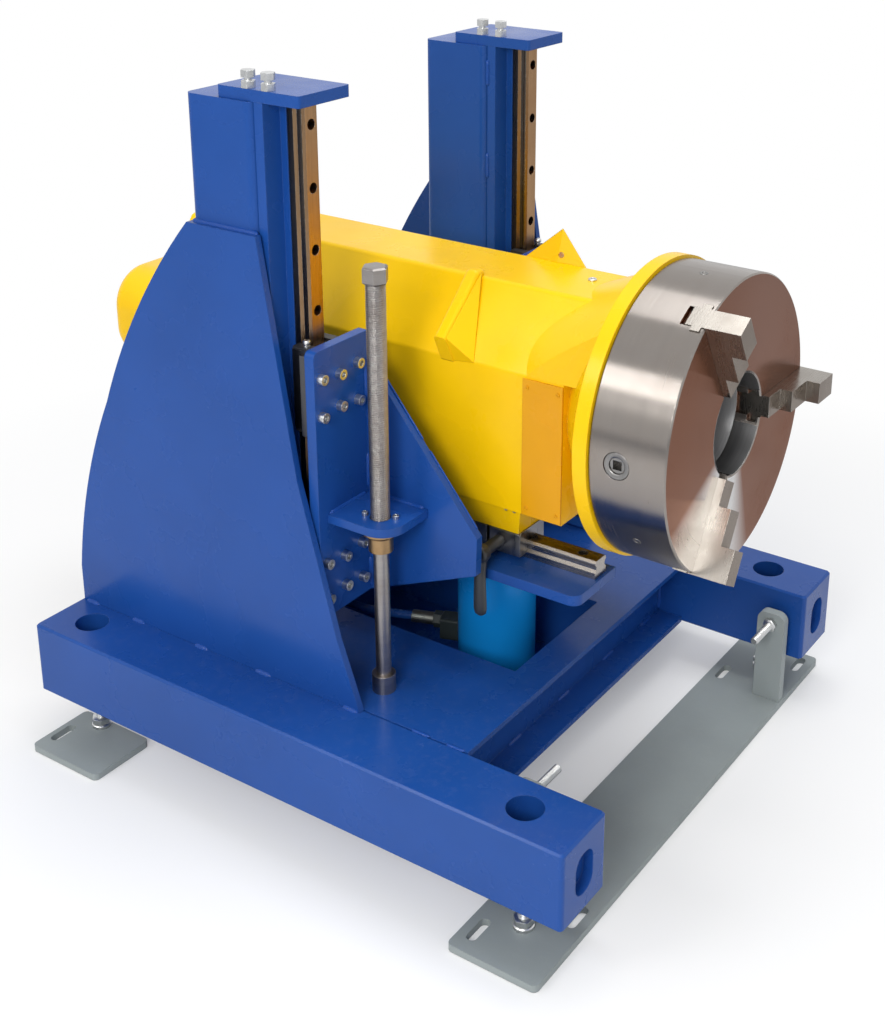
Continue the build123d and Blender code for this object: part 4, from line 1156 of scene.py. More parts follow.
@dataclass
class BaseFrame:
    """Beams, deck, columns and gussets with their welds.

    Args:
        top: height of the beams' top.
        inner: half of the gap between the beams, and Y of the columns' outer faces.
        gusset_face: Y of the gussets' outer faces.
        gusset_top: height of the gussets' upper edge.
        gusset_stitches: X of both ends of the stitches at the gussets' feet.
        column_inner: Y of the columns' inner faces.
        column_x: X of the columns' rear and front corners.
        corner_z: Z of both ends of the weld down a column's front corner.
        bar_front: X of the fronts of the bars behind the rails.
        bar_y: Y of both ends of the weld at a bar's foot.
        tack_place: X and Y of the tacks between bar and column.
        tack_length: length of a tack.
        bar_tacks: heights of the tacks.
        web_x: X of the front web's face.
        web_foot: height of the front web's foot.
        web_end: Y of the web's ends.
        web_z: Z of both ends of the welds up the web's ends.
        web_stitches: Y of the stitches along the web's foot.
        web_stitch: length of one of them.
        deck_stitches: X of the stitches between deck and beams.
        deck_stitch: length of one of them.
    """

    top: float = 0.185
    inner: float = 0.300
    gusset_face: float = 0.310
    gusset_top: float = 0.8155
    gusset_stitches: Profile = (
        (-0.408, -0.380),
        (-0.312, -0.286),
        (-0.187, -0.160),
        (-0.072, -0.042),
        (0.083, 0.110),
    )
    column_inner: float = 0.200
    column_x: Pair = (-0.148, -0.036)
    corner_z: Pair = (0.80, 0.62)
    bar_front: float = -0.0235
    bar_y: Pair = (0.206, 0.232)
    tack_place: Pair = (-0.0375, 0.204)
    tack_length: float = 0.04
    bar_tacks: tuple[float, ...] = (0.24, 0.42, 0.60, 0.78, 0.92)
    web_x: float = 0.2350
    web_foot: float = 0.0835
    web_end: float = 0.2995
    web_z: Pair = (0.084, 0.175)
    web_stitches: tuple[float, ...] = (-0.27, -0.14, -0.01, 0.12, 0.24)
    web_stitch: float = 0.035
    deck_stitches: tuple[float, ...] = (0.190, 0.245)
    deck_stitch: float = 0.03

    def dress(self, frame: dict, finishes: dict[str, bpy.types.Material]) -> None:
        """Give the frame's nodes their enamel and steel."""
        table = {
            "beam_left beam_right deck_plate crossmembers cylinder_pit": "frame_blue",
            "column_left column_right rail_bars gusset_left gusset_right top_plates": "frame_blue",
            "column_rail_left column_rail_right": "rail_steel",
            "top_bolts": "bolt_steel",
        }
        dress(frame, finishes, table)

    def side_beads(self, side: int) -> list[WeldBead]:
        """List the fillets and stitches of one column and its gusset.

        Args:
            side: -1 for the near side, 1 for the far side.

        Returns:
            The beads.
        """
        face, outer, inner = side * self.gusset_face, side * self.inner, side * self.column_inner
        rear, front = self.column_x
        bar = tuple(side * y for y in self.bar_y)
        tack = (self.tack_place[0], side * self.tack_place[1])
        foot = (face, self.top)
        beads = [straight("x", span, foot, HEAVY_LEG, (0, side, 1)) for span in self.gusset_stitches]
        beads += [
            straight("x", (rear, front), (outer, self.gusset_top), FULL_LEG, (0, side, 1)),
            straight("z", self.corner_z, (front, outer), PLAIN_LEG, (1, side, 0)),
            straight("x", (rear + 0.003, front - 0.004), (inner, self.top), HEAVY_LEG, (0, -side, 1)),
            straight("y", bar, (self.bar_front, self.top), PLAIN_LEG, (1, 0, 1)),
        ]
        for low in self.bar_tacks:
            beads.append(straight("z", (low, low + self.tack_length), tack, TACK_LEG, (-0.2, -side, 0)))
        return beads

    def welds(self, finish: bpy.types.Material) -> None:
        """Lay the fillets and stitches of the frame.

        Args:
            finish: painted weld finish.
        """
        beads = [bead for side in SIDES for bead in self.side_beads(side)]
        for side in SIDES:
            corner = (self.web_x, side * self.web_end)
            beads.append(straight("z", self.web_z, corner, FULL_LEG, (1, -side, 0)))
            seam = (side * self.inner, self.top)
            for low in self.deck_stitches:
                beads.append(straight("x", (low, low + self.deck_stitch), seam, STITCH_LEG, (0, 0, 1)))
        for low in self.web_stitches:
            span = (low, low + self.web_stitch)
            beads.append(straight("y", span, (self.web_x, self.web_foot), PLAIN_LEG, (1, 0, 1)))
        lay_welds("frame_welds", beads, finish, "base", "frame_blue")


@dataclass
class FloorFixings:
    """Floor plates, levelling screws and side screws.

    Args:
        stud_places: X and Y of the levelling screws.
        stud_foot: radii and heights of their washers.
        stud_thread: their thread.
        stud_span: Z of the thread's ends.
        stud_tip: height of the tip past the thread.
        stud_nut: their nuts.
        nuts: foot, top and turn of each nut on a levelling screw.
        screw_x: X of the side screws, left then right.
        screw_z: height of the side screws.
        screw_length: their length.
        screw_tip: length of the tip past the thread.
        screw_thread: their thread.
        screw_nut: their lock nuts.
        beam_face: Y of the beams' inner faces, which the screws start from.
    """

    stud_places: Profile = ((-0.3525, -0.35), (-0.3525, 0.35), (0.3985, -0.35), (0.3985, 0.35))
    stud_foot: Profile = ((0.014, 0.010), (0.014, 0.0145), (0.0125, 0.016))
    stud_thread: Thread = Thread(radius=0.008, depth=0.0011, lead=0.0025)
    stud_span: Pair = (0.0155, 0.1185)
    stud_tip: float = 0.0015
    stud_nut: Hexagon = Hexagon(width=0.024, chamfer=0.0012)
    nuts: tuple[Triple, ...] = ((0.016, 0.026, 0.3), (0.065, 0.0749, 0.1))
    screw_x: Pair = (0.3595, 0.4415)
    screw_z: float = 0.141
    screw_length: float = 0.090
    screw_tip: float = 0.0015
    screw_thread: Thread = Thread(radius=0.006, depth=0.0009, lead=0.00175)
    screw_nut: Hexagon = Hexagon(width=0.019, chamfer=0.001)
    beam_face: float = 0.2997

    def dress(self, frame: dict, finishes: dict[str, bpy.types.Material]) -> None:
        """Give plates and screws their finishes."""
        table = {
            "front_foot_plate rear_foot_plates side_brackets": "plate_grey",
            "levelling_studs side_screw_left side_screw_right": "bolt_steel",
        }
        dress(frame, finishes, table)

    def levelling_screws(self, finish: bpy.types.Material) -> None:
        """Build the levelling screws with cut threads and chamfered nuts.

        Args:
            finish: plated steel.
        """
        mesh = Mesh()
        top = self.stud_span[1]
        for x, y in self.stud_places:
            there = Matrix.Translation((x, y, 0))
            mesh.rings(turned(self.stud_foot), there)
            mesh.rings(self.stud_thread.rings(*self.stud_span), there)
            mesh.rings(turned(((0.0068, top), (0.0062, top + self.stud_tip))), there)
            for low, high, turn in self.nuts:
                mesh.rings(self.stud_nut.rings(low, high, turn), there)
        made = mesh.build("levelling_screws", finish, "base", "bolt_steel")
        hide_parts("levelling_studs")

    def side_screws(self, finish: bpy.types.Material) -> None:
        """Build both side screws with threads and lock nuts.

        Args:
            finish: plated steel.
        """
        top = self.screw_length - self.screw_tip
        for name, side, x in zip(("left", "right"), SIDES, self.screw_x):
            mesh = Mesh()
            there = facing((x, side * self.beam_face, self.screw_z), (0, -side, 0))
            mesh.rings(self.screw_thread.rings(0.0, top), there)
            mesh.rings(turned(((0.0051, top), (0.0044, self.screw_length))), there)
            mesh.rings(self.screw_nut.rings(0.0300, 0.0379, 0.2), there)
            made = mesh.build(f"side_screw_{name}_threaded", finish, f"side_screw_{name}", "bolt_steel")
            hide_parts(f"side_screw_{name}")


@dataclass
class LiftDrive:
    """Cylinder, hose, spindle and its nut.

    Args:
        axis: X and Y of the spindle.
        foot: Z of the spindle's lower end.
        journal: radius of its plain lower length.
        thread: its thread.
        thread_span: Z of the thread's ends.
        head: its hexagon head.
        head_height: height of that head.
    """

    axis: Pair = (0.1035, -0.246)
    foot: float = 0.1883
    journal: float = 0.0105
    thread: Thread = Thread(radius=0.013, depth=0.0013, lead=0.006, starts=2)
    thread_span: Pair = (0.397, 0.764)
    head: Hexagon = Hexagon(width=0.030, chamfer=0.002)
    head_height: float = 0.022

    def dress(self, frame: dict, finishes: dict[str, bpy.types.Material]) -> None:
        """Give the drive's nodes their finishes."""
        table = {
            "cylinder_barrel": "cylinder_blue",
            "lift_stage lift_rod": "rod_chrome",
            "lift_valve": "valve_dark",
            "hose": "hose_blue",
            "hose_ferrules": "ferrule_grey",
            "spindle_foot spindle": "spindle_steel",
            "spindle_nut": "spindle_bronze",
        }
        dress(frame, finishes, table)

    def threaded_spindle(self, finish: bpy.types.Material) -> None:
        """Build the spindle with its cut thread and chamfered head.

        Args:
            finish: turned steel.
        """
        mesh = Mesh()
        there = Matrix.Translation((*self.axis, 0))
        low, high = self.thread_span
        edge, full = 0.001, self.journal
        mesh.rings(turned(((full - edge, self.foot), (full, self.foot + edge), (full, low + edge))), there)
        mesh.rings(self.thread.rings(low, high), there)
        mesh.rings(self.head.rings(high, high + self.head_height), there)
        made = mesh.build("spindle_threaded", finish, "spindle", "spindle_steel", 28.0)
        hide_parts("spindle")


@dataclass
class Carriage:
    """Carriage plates, bed, rails, runner blocks and their small parts.

    Args:
        column_y: Y of the column rails.
        plate_x: X of the carriage plates' front faces, at the weld's root.
        block_heights: Z of the runner blocks' middles.
        block_half: half length of a runner block.
        wing: from a rail's middle to the middle of a block's wing.
        cap_half: half width of an end cap.
        cap_x: X of the end caps' rear and front.
        cap_depth: how far an end cap stands out.
        side_plate_y: Y of the side plates' inner and outer faces.
        side_welds: Z of both ends of the welds along the side plates.
        bed_weld_x: X of both ends of the welds under the bed.
        bed_bottom: height of the bed's underside, at the weld's root.
        slant: X and Z of the ends of the side plates' slanted edge.
        slant_shares: shares of that edge where its two beads begin and end.
        bracket_top: height of the nut bracket's top.
        nut_axis: X and Y of the spindle nut.
        nut_circle: radius of the nut screws' circle.
    """

    column_y: float = 0.250
    plate_x: float = 0.0437
    block_heights: Pair = (0.350, 0.610)
    block_half: float = 0.055
    wing: float = 0.0225
    cap_half: float = 0.0068
    cap_x: Pair = (-0.0055, 0.0265)
    cap_depth: float = 0.0035
    side_plate_y: Pair = (0.183, 0.195)
    side_welds: Profile = ((0.300, 0.345), (0.45, 0.50), (0.58, 0.632))
    bed_weld_x: Pair = (0.05, 0.085)
    bed_bottom: float = 0.3402
    slant: tuple[Pair, Pair] = ((0.0455, 0.637), (0.2205, 0.423))
    slant_shares: Profile = ((0.04, 0.47), (0.53, 0.96))
    bracket_top: float = 0.444
    nut_axis: Pair = (0.1035, -0.246)
    nut_circle: float = 0.021

    def dress(self, frame: dict, finishes: dict[str, bpy.types.Material]) -> None:
        """Give the carriage's nodes their finishes."""
        table = {
            "carriage_plate_left carriage_plate_right side_plate_left side_plate_right": "frame_blue",
            "nut_bracket cross_beam bed_plate": "frame_blue",
            # The runner blocks take the dark copy of the steel, which is painted shade
            "runner_blocks": "runner_steel_painted_shade",
            "bed_rails": "bed_rail_steel",
            "carriage_screws": "bolt_steel",
        }
        dress(frame, finishes, table)

    def welds(self, finish: bpy.types.Material) -> None:
        """Lay the carriage's welds.

        Args:
            finish: painted weld finish.
        """
        beads = []
        for side in SIDES:
            inner, outer = (side * y for y in self.side_plate_y)
            for span in self.side_welds:
                beads.append(straight("z", span, (self.plate_x, outer), FULL_LEG, (1, side, 0)))
                beads.append(straight("z", span, (self.plate_x, inner), FULL_LEG, (1, -side, 0)))
            beads.append(straight("x", self.bed_weld_x, (inner, self.bed_bottom), FULL_LEG, (0, -side, 1)))
        edge_y = self.side_plate_y[0] + 0.0005
        for side in SIDES:
            for shares in self.slant_shares:
                ends = [Vector(self.slant[0]).lerp(Vector(self.slant[1]), share) for share in shares]
                start, end = ((place.x, side * edge_y, place.y) for place in ends)
                beads.append(WeldBead(start, end, SEAM_LEG, (0.8, -side * 0.3, 0.55)))
        clear = 0.0002
        root = self.bracket_top + clear
        beads.append(straight("y", (-0.276, -0.2), (self.plate_x, root), PLAIN_LEG, (1, 0, 1)))
        side_root = (-self.side_plate_y[1] - clear, root)
        beads.append(straight("x", (0.048, 0.136), side_root, PLAIN_LEG, (0, -1, 1)))
        lay_welds("carriage_welds", beads, finish, "carriage", "frame_blue")

    def block_caps(self, finish: bpy.types.Material) -> None:
        """Put the dark end caps on the runner blocks.

        Args:
            finish: moulded seal finish.
        """
        mesh = Mesh()
        rear, front = self.cap_x
        for side, height, end, across in product(SIDES, self.block_heights, SIDES, SIDES):
            y = side * self.column_y + across * self.wing
            left, right = y - self.cap_half, y + self.cap_half
            low = height + end * self.block_half
            corners = ((rear, left), (front, left), (front, right), (rear, right))
            mesh.rings([[(*corner, z) for corner in corners] for z in (low, low + end * self.cap_depth)])
        mesh.build("block_end_caps", finish, "carriage", "block_steel", 30.0)

    def grease_nipples(self, finish: bpy.types.Material) -> None:
        """Put a grease nipple on the upper end of each runner block.

        Args:
            finish: plated steel.
        """
        mesh = Mesh()
        profile = (
            (0.0045, 0.0),
            (0.0045, 0.0020),
            (0.0030, 0.0024),
            (0.0030, 0.0036),
            (0.0050, 0.0046),
            (0.0050, 0.0072),
            (0.0040, 0.0090),
            (0.0022, 0.0096),
        )
        for side in SIDES:
            for height in self.block_heights:
                top = height + self.block_half + 0.0033
                there = facing((0.012, side * (self.column_y + self.wing), top), (0, 0, 1))
                mesh.rings(turned(profile), there)
        mesh.build("grease_nipples", finish, "carriage", "bolt_steel")

    def bracket_screws(self, finish: bpy.types.Material) -> None:
        """Put the two nut screws on the spindle bracket.

        Args:
            finish: plated steel.
        """
        mesh = Mesh()
        screw = CapScrew(radius=0.0045, height=0.005, socket=0.0021)
        x, y = self.nut_axis
        for turn in (0.35, 0.35 + math.pi):
            away = (self.nut_circle * math.cos(turn), self.nut_circle * math.sin(turn))
            screw.add_to(mesh, (x + away[0], y + away[1], self.bracket_top), (0, 0, 1))
        mesh.build("bracket_screws", finish, "carriage", "bolt_steel")


@dataclass
class Head:
    """Head box, covers, lugs and the clamp lever.

    Args:
        top: height of the top face.
        side: half width of the box.
        cover_depth: how far the side covers stand out.
        cover_screws_x: X of the covers' screws.
        cover_screws_z: Z of the covers' screws.
        saddle_screws_x: X of the screws above the saddle.
        saddle_face: Y and Z of those screws' seats.
        eye_place: X and Y of the eye screw on the top.
        lever_pin: X and Z of the clamp lever's pin.
        lever_hub: radius of the lever's hub at each distance from the head's middle.
        lever_arm: distance below the pin, half width and half thickness along the lever's arm.
        lug_web: corners of the web on the near lug, the last one at the chuck's side.
        lug_foot: where the near lug's weld starts from.
        lug_slope: the way that it runs down the head's shoulder.
        lug_weld: distance from the foot of both its ends.
    """

    top: float = 0.727
    side: float = 0.122
    cover_depth: float = 0.003
    cover_screws_x: Pair = (0.2495, 0.2955)
    cover_screws_z: Pair = (0.448, 0.618)
    saddle_screws_x: Triple = (0.10, 0.215, 0.228)
    saddle_face: Pair = (0.119, 0.4345)
    eye_place: Pair = (0.262, 0.012)
    lever_pin: Pair = (0.200, 0.380)
    lever_hub: Profile = (
        (0.0040, 0.1003),
        (0.0040, 0.1103),
        (0.0075, 0.1106),
        (0.0085, 0.1140),
        (0.0085, 0.1460),
        (0.0125, 0.1505),
        (0.0132, 0.1535),
        (0.0132, 0.1605),
        (0.0122, 0.1634),
        (0.0100, 0.1648),
        (0.0052, 0.1648),
        (0.0045, 0.1622),
    )
    lever_arm: tuple[Triple, ...] = (
        (0.000, 0.0120, 0.0064),
        (0.014, 0.0100, 0.0066),
        (0.030, 0.0086, 0.0066),
        (0.050, 0.0088, 0.0067),
        (0.070, 0.0096, 0.0068),
        (0.082, 0.0098, 0.0068),
        (0.089, 0.0082, 0.0060),
        (0.092, 0.0046, 0.0036),
    )
    lug_web: tuple[Point, ...] = (
        (0.1324, -0.0560, 0.7345),
        (0.1324, -0.1392, 0.6650),
        (0.1324, -0.1220, 0.6282),
        (0.1650, -0.1218, 0.6320),
    )
    lug_foot: Point = (0.1125, -0.058, 0.7255)
    lug_slope: Point = (0, -0.066, -0.095)
    lug_weld: Pair = (0.006, 0.105)

    def dress(self, frame: dict, finishes: dict[str, bpy.types.Material]) -> None:
        """Give the head's nodes their finishes."""
        table = {
            "head_housing front_flange lug_near lug_far rear_cover": "head_yellow",
            "side_covers": "cover_amber",
            "gear_motor": "motor_grey",
            "main_bearings main_shaft drive_pinion": "bearing_steel",
            "bed_blocks clamp_block": "block_steel",
            "clamp_lever": "lever_black",
        }
        dress(frame, finishes, table)

    def screws(self, finish: bpy.types.Material, cover_finish: bpy.types.Material) -> None:
        """Put the small screws on covers, saddle seam and top.

        Args:
            finish: plated steel.
            cover_finish: the covers' enamel, which their screws are painted with.
        """
        mesh, painted = Mesh(), Mesh()
        small = CapScrew(radius=0.0028, height=0.0016, socket=0.0012, dome=0.0006)
        for side in SIDES:
            for z in self.cover_screws_z:
                for x in self.cover_screws_x:
                    small.add_to(painted, (x, side * (self.side + self.cover_depth), z), (0, side, 0))
            for x in self.saddle_screws_x:
                small.add_to(mesh, (x, side * self.saddle_face[0], self.saddle_face[1]), (0, side, 0))
        eye = CapScrew(radius=0.006, height=0.003, socket=0.0024, dome=0.001)
        eye.add_to(mesh, (*self.eye_place, self.top), (0, 0, 1))
        mesh.build("head_screws", finish, "head", "bolt_steel")
        painted.build("cover_screws", cover_finish, "head", "cover_amber")

    def lever(self, finish: bpy.types.Material) -> None:
        """Build the clamp lever: round hub, neck and a tapered arm with rounded sides.

        Args:
            finish: moulded black.
        """
        mesh = Mesh()
        x, z = self.lever_pin
        mesh.rings(turned(self.lever_hub, 32), facing((x, 0.0, z), (0, -1, 0)))
        arm_y, arm_length, bow, corners = -0.1572, 0.09, 0.0010, 20
        steps = [2 * math.pi * n / corners for n in range(corners)]
        rows = []
        for down, half, thick in self.lever_arm:
            y = arm_y - bow * math.sin(math.pi * down / arm_length)
            rows.append([(x + half * math.cos(step), y + thick * math.sin(step), z - down) for step in steps])
        mesh.rings(rows)
        pin = CapScrew(radius=0.0044, height=0.0016, socket=0.0022, dome=0.0003)
        pin.add_to(mesh, (x, -self.lever_hub[-1][1], z), (0, -1, 0))
        made = mesh.build("lever_moulded", finish, "clamp_lever", "lever_black", 50.0)
        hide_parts("clamp_lever")

    def web(self, finish: bpy.types.Material) -> None:
        """Add the ground web on the near lug's chuck side.

        Args:
            finish: the head's enamel.
        """
        mesh = Mesh()
        mesh.add(list(self.lug_web), [(0, 1, 3), (1, 2, 3), (2, 0, 3), (0, 2, 1)])
        mesh.build("lug_near_web", finish, "head", "head_yellow", 20.0)

    def welds(self, finish: bpy.types.Material) -> None:
        """Lay the weld that joins the near lug to the head.

        Args:
            finish: painted weld finish.
        """
        slope = Vector(self.lug_slope).normalized()
        start, end = (tuple(Vector(self.lug_foot) + slope * along) for along in self.lug_weld)
        bead = WeldBead(start, end, TACK_LEG, (-1, -0.82, 0.57))
        lay_welds("lug_welds", [bead], finish, "head", "head_yellow")


@dataclass
class Chuck:
    """Chuck body, jaws and pinions.

    Args:
        axis_z: height of the chuck axis.
        rim: radius of the chuck body.
        pinion_x: X of the pinions.
        pinion_angles: angles of the pinions about the axis, in degrees from +Y.
        pinion_depth: how far the retaining rings' seats lie below the rim.
        plug_x: X of the set screws in the rim.
        plug_angles: angles of those screws.
        plug_depth: how far their seats lie below the rim.
        jaw_angles: angles of the jaws.
        bore: radius of the through bore.
        bore_span: X of the bore's ends behind the jaw slots.
        face_x: X of the bore's mouth.
        slot_half_angle: half of the angle that a jaw slot takes from the bore, in degrees.
    """

    axis_z: float = 0.581
    rim: float = 0.196
    pinion_x: float = 0.4215
    pinion_angles: tuple[int, ...] = (60, 180, 300)
    pinion_depth: float = 0.0038
    plug_x: float = 0.4355
    plug_angles: tuple[int, ...] = (214, 94, 334)
    plug_depth: float = 0.0012
    jaw_angles: tuple[int, ...] = (0, 120, 240)
    bore: float = 0.068
    bore_span: Pair = (0.3827, 0.4532)
    face_x: float = 0.4868
    slot_half_angle: float = 22.0

    def dress(self, frame: dict, finishes: dict[str, bpy.types.Material]) -> None:
        """Give the chuck's nodes their steel."""
        table = {
            "chuck_body": "chuck_steel",
            "scroll_plate": "bearing_steel",
            "jaw_1 jaw_2 jaw_3": "jaw_steel",
            "pinion_1 pinion_2 pinion_3": "pinion_steel",
        }
        dress(frame, finishes, table)

    def spot(self, x: float, angle: float, depth: float) -> tuple[Point, Point]:
        """Find a place on the chuck's rim.

        Args:
            x: X of the place.
            angle: its angle about the axis in degrees, from +Y.
            depth: how far it lies below the rim.

        Returns:
            The place and the direction that faces out there.
        """
        out = (0.0, math.cos(math.radians(angle)), math.sin(math.radians(angle)))
        foot = self.rim - depth
        return (x, foot * out[1], self.axis_z + foot * out[2]), out

    def pinion_rings(self, finish: bpy.types.Material) -> None:
        """Put the retaining rings round the three key sockets.

        Args:
            finish: turned steel.
        """
        mesh = Mesh()
        profile = (
            (0.0175, 0.0),
            (0.0175, 0.0026),
            (0.0168, 0.0032),
            (0.0122, 0.0032),
            (0.0108, 0.0022),
            (0.0108, 0.0),
        )
        for angle in self.pinion_angles:
            there = facing(*self.spot(self.pinion_x, angle, self.pinion_depth))
            mesh.rings(turned(profile, 40), there, closed=False)
        mesh.build("pinion_rings", finish, "chuck", "chuck_steel")

    def bore_lining(self, finish: bpy.types.Material) -> None:
        """Line the chuck's bore with its bored and honed surface, and leave the jaw slots open.

        Args:
            finish: honed steel.
        """
        mesh = Mesh()
        outer, inner = self.bore - 0.0001, self.bore - 0.0005
        low, high = self.bore_span
        rings = turned(((outer, low), (inner, low), (inner, high - 0.0006), (outer, high)), 96)
        mesh.rings([*rings, rings[0]], facing((0.0, 0.0, self.axis_z), (1, 0, 0)), closed=False)
        steps = 18
        opening = 120 - 2 * self.slot_half_angle
        section = ((outer, high), (inner, high), (inner, self.face_x), (outer, self.face_x))
        for jaw in self.jaw_angles:
            rings = []
            for step in range(steps + 1):
                turn = math.radians(jaw + self.slot_half_angle + opening * step / steps)
                y, z = math.cos(turn), math.sin(turn)
                rings.append([(x, radius * y, self.axis_z + radius * z) for radius, x in section])
            mesh.rings(rings)
        mesh.build("bore_lining", finish, "chuck", "chuck_steel", 50.0)

    def plugs(self, finish: bpy.types.Material) -> None:
        """Put the small set screws in the chuck's rim.

        Args:
            finish: dark steel.
        """
        mesh = Mesh()
        screw = CapScrew(radius=0.0055, height=0.0016, socket=0.0026, dome=0.0003)
        for angle in self.plug_angles:
            screw.add_to(mesh, *self.spot(self.plug_x, angle, self.plug_depth))
        mesh.build("rim_plugs", finish, "chuck", "pinion_steel")


# The studio


@dataclass(frozen=True)
class SoftBox:
    """A rectangular lamp that faces the middle of the object.

    Args:
        name: the lamp's name.
        at: where it hangs.
        size: width and height of the panel.
        power: watts.
        tint: colour.
        aim: the point that it faces.
    """

    name: str
    at: Point
    size: Pair
    power: float
    tint: Colour = (1.0, 0.99, 0.97)
    aim: Point = (0.0, 0.0, 0.45)

    def hang(self) -> None:
        """Create the lamp."""
        data = bpy.data.lights.new(self.name, "AREA")
        data.shape = "RECTANGLE"
        data.size, data.size_y = self.size
        data.energy = self.power
        data.color = self.tint
        made = bpy.data.objects.new(self.name, data)
        made.matrix_world = facing(self.at, tuple(Vector(self.at) - Vector(self.aim)))
        bpy.context.scene.collection.objects.link(made)


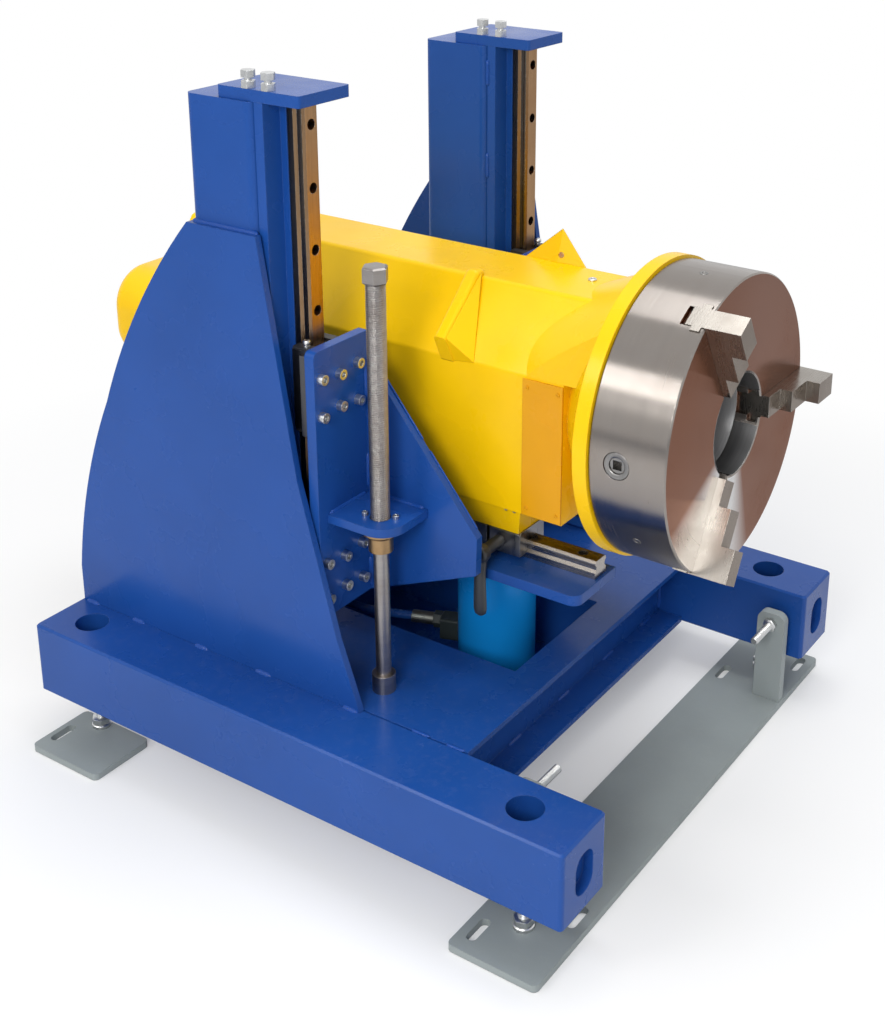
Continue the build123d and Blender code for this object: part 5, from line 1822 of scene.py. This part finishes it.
@dataclass
class Studio:
    """Floor, lamps, world and camera.

    Args:
        camera_at: where the camera stands.
        azimuth: degrees that it turns from +Y toward -X.
        drop: degrees that it looks down.
        roll: degrees that the picture is turned.
        focal: focal length in pixels of the photograph.
        centre: principal point in pixels.
        frame_size: width and height of the photograph.
        sensor: side of the camera's square sensor in millimetres.
        floor_reach: half of the floor's side.
        floor_z: height of the floor, just under the foot plates.
        lamps: the soft boxes.
    """

    camera_at: Point = (1.2087, -1.6238, 1.3514)
    azimuth: float = 33.0
    drop: float = 19.1
    roll: float = -0.6
    focal: float = 1508.1
    centre: Pair = (518.7, 300.6)
    frame_size: tuple[int, int] = (885, 1024)
    sensor: float = 36.0
    floor_reach: float = 9.0
    floor_z: float = -0.0004
    lamps: tuple[SoftBox, ...] = (
        SoftBox("key", (-1.3, -2.7, 2.6), size=(1.2, 1.0), power=21.0),
        SoftBox("front", (0.95, -2.5, 1.75), size=(0.9, 0.9), power=36.0),
        SoftBox("top", (0.3, 0.4, 3.3), size=(1.8, 1.4), power=40.0, tint=(1.0, 1.0, 1.0)),
    )

    def camera(self) -> None:
        """Create the camera at the photograph's place and angle."""
        az, el, roll = (math.radians(angle) for angle in (self.azimuth, self.drop, self.roll))
        forward = Vector((-math.sin(az) * math.cos(el), math.cos(az) * math.cos(el), -math.sin(el)))
        right = Vector((math.cos(az), math.sin(az), 0.0))
        down = forward.cross(right)
        across = math.cos(roll) * right + math.sin(roll) * down
        below = -math.sin(roll) * right + math.cos(roll) * down
        data = bpy.data.cameras.new("photo_camera")
        width, longest = self.frame_size[0], max(self.frame_size)
        data.sensor_width = data.sensor_height = self.sensor
        data.sensor_fit = "AUTO"
        data.lens = self.focal / longest * self.sensor
        data.shift_x = -(self.centre[0] - width / 2) / longest
        data.shift_y = (self.centre[1] - self.frame_size[1] / 2) / longest
        data.clip_end = 30.0
        made = bpy.data.objects.new("photo_camera", data)
        turn = Matrix((across, -below, -forward)).transposed()
        made.matrix_world = Matrix.Translation(self.camera_at) @ turn.to_4x4()
        bpy.context.scene.collection.objects.link(made)
        bpy.context.scene.camera = made

    def floor(self) -> None:
        """Lay the pale floor, which fades to plain white for the camera away from the object."""
        data = bpy.data.meshes.new("floor")
        far, z = self.floor_reach, self.floor_z
        data.from_pydata([(-far, -far, z), (far, -far, z), (far, far, z), (-far, far, z)], [], [(0, 1, 2, 3)])
        made = bpy.data.objects.new("floor", data)
        bpy.context.scene.collection.objects.link(made)
        finish, sheet, shader = new_material("floor_pale")
        place = sheet.place()
        cloud = sheet.noise(place, 1.5)
        sheet.link(sheet.blend(cloud, (0.90, 0.90, 0.90), (0.93, 0.93, 0.93)), shader["Base Color"])
        shader["Roughness"].default_value = 0.9
        white = sheet.node("ShaderNodeEmission")
        white.inputs["Strength"].default_value = 1.0
        away = sheet.vector("LENGTH", place).outputs["Value"]
        far_off = sheet.ramp(away, 0.75, 1.5, 0.25, 1.0)
        seen = sheet.maths("MULTIPLY", sheet.node("ShaderNodeLightPath").outputs["Is Camera Ray"], far_off)
        nodes = finish.node_tree.nodes
        mixed = sheet.mix_shaders(seen, nodes["Principled BSDF"], white)
        sheet.link(mixed, nodes["Material Output"].inputs["Surface"])
        data.materials.append(finish)

    def world(self) -> None:
        """Make the world: a soft sky, dimmer toward the horizon, and white for camera and mirror rays."""
        world = bpy.data.worlds.new("studio")
        bpy.context.scene.world = world
        world.use_nodes = True
        sheet = NodeSheet(world.node_tree)
        world.node_tree.nodes.clear()
        out = sheet.node("ShaderNodeOutputWorld")
        upward = sheet.split(sheet.node("ShaderNodeTexCoord").outputs["Generated"])["Z"]
        height = sheet.ramp(upward, 0.0, 0.9)
        soft, white = (sheet.node("ShaderNodeBackground") for _ in range(2))
        sheet.link(sheet.blend(height, (0.46, 0.46, 0.48), (0.80, 0.82, 0.85)), soft.inputs["Color"])
        soft.inputs["Strength"].default_value = 0.8
        sheet.feed(white.inputs["Color"], (1.0, 1.0, 1.0))
        white.inputs["Strength"].default_value = 1.0
        path = sheet.node("ShaderNodeLightPath").outputs
        seen = sheet.maths("MAXIMUM", path["Is Camera Ray"], path["Is Transmission Ray"])
        seen = sheet.maths("MAXIMUM", seen, path["Is Glossy Ray"])
        sheet.link(sheet.mix_shaders(seen, soft, white), out.inputs["Surface"])

    def build(self) -> None:
        """Set up floor, world, lamps, camera and the plain view transform."""
        self.floor()
        self.world()
        for lamp in self.lamps:
            lamp.hang()
        self.camera()
        bpy.context.scene.view_settings.view_transform = "Standard"


def main() -> None:
    """Build the finishes, dress the nodes and add the pieces in order."""
    logging.basicConfig(level=logging.INFO, format="%(name)s: %(message)s")
    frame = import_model()
    effects = Effects()
    finishes = {finish.name: finish.material(effects) for finish in FINISHES}

    base, floor, drive = BaseFrame(), FloorFixings(), LiftDrive()
    carriage, head, chuck = Carriage(), Head(), Chuck()
    for group in (base, floor, drive, carriage, head, chuck):
        group.dress(frame, finishes)
    base.welds(finishes["weld_blue"])
    floor.levelling_screws(finishes["bolt_steel"])
    floor.side_screws(finishes["bolt_steel"])
    drive.threaded_spindle(finishes["spindle_steel"])
    carriage.welds(finishes["weld_blue"])
    carriage.block_caps(finishes["seal_black"])
    carriage.grease_nipples(finishes["bolt_steel"])
    carriage.bracket_screws(finishes["bolt_steel"])
    head.screws(finishes["bolt_steel"], finishes["cover_amber"])
    head.lever(finishes["lever_black"])
    head.web(finishes["head_yellow"])
    head.welds(finishes["weld_yellow"])
    chuck.pinion_rings(finishes["pinion_steel"])
    chuck.bore_lining(finishes["sleeve_steel"])
    chuck.plugs(finishes["pinion_steel"])
    Studio().build()


if __name__ == "__main__":
    main()
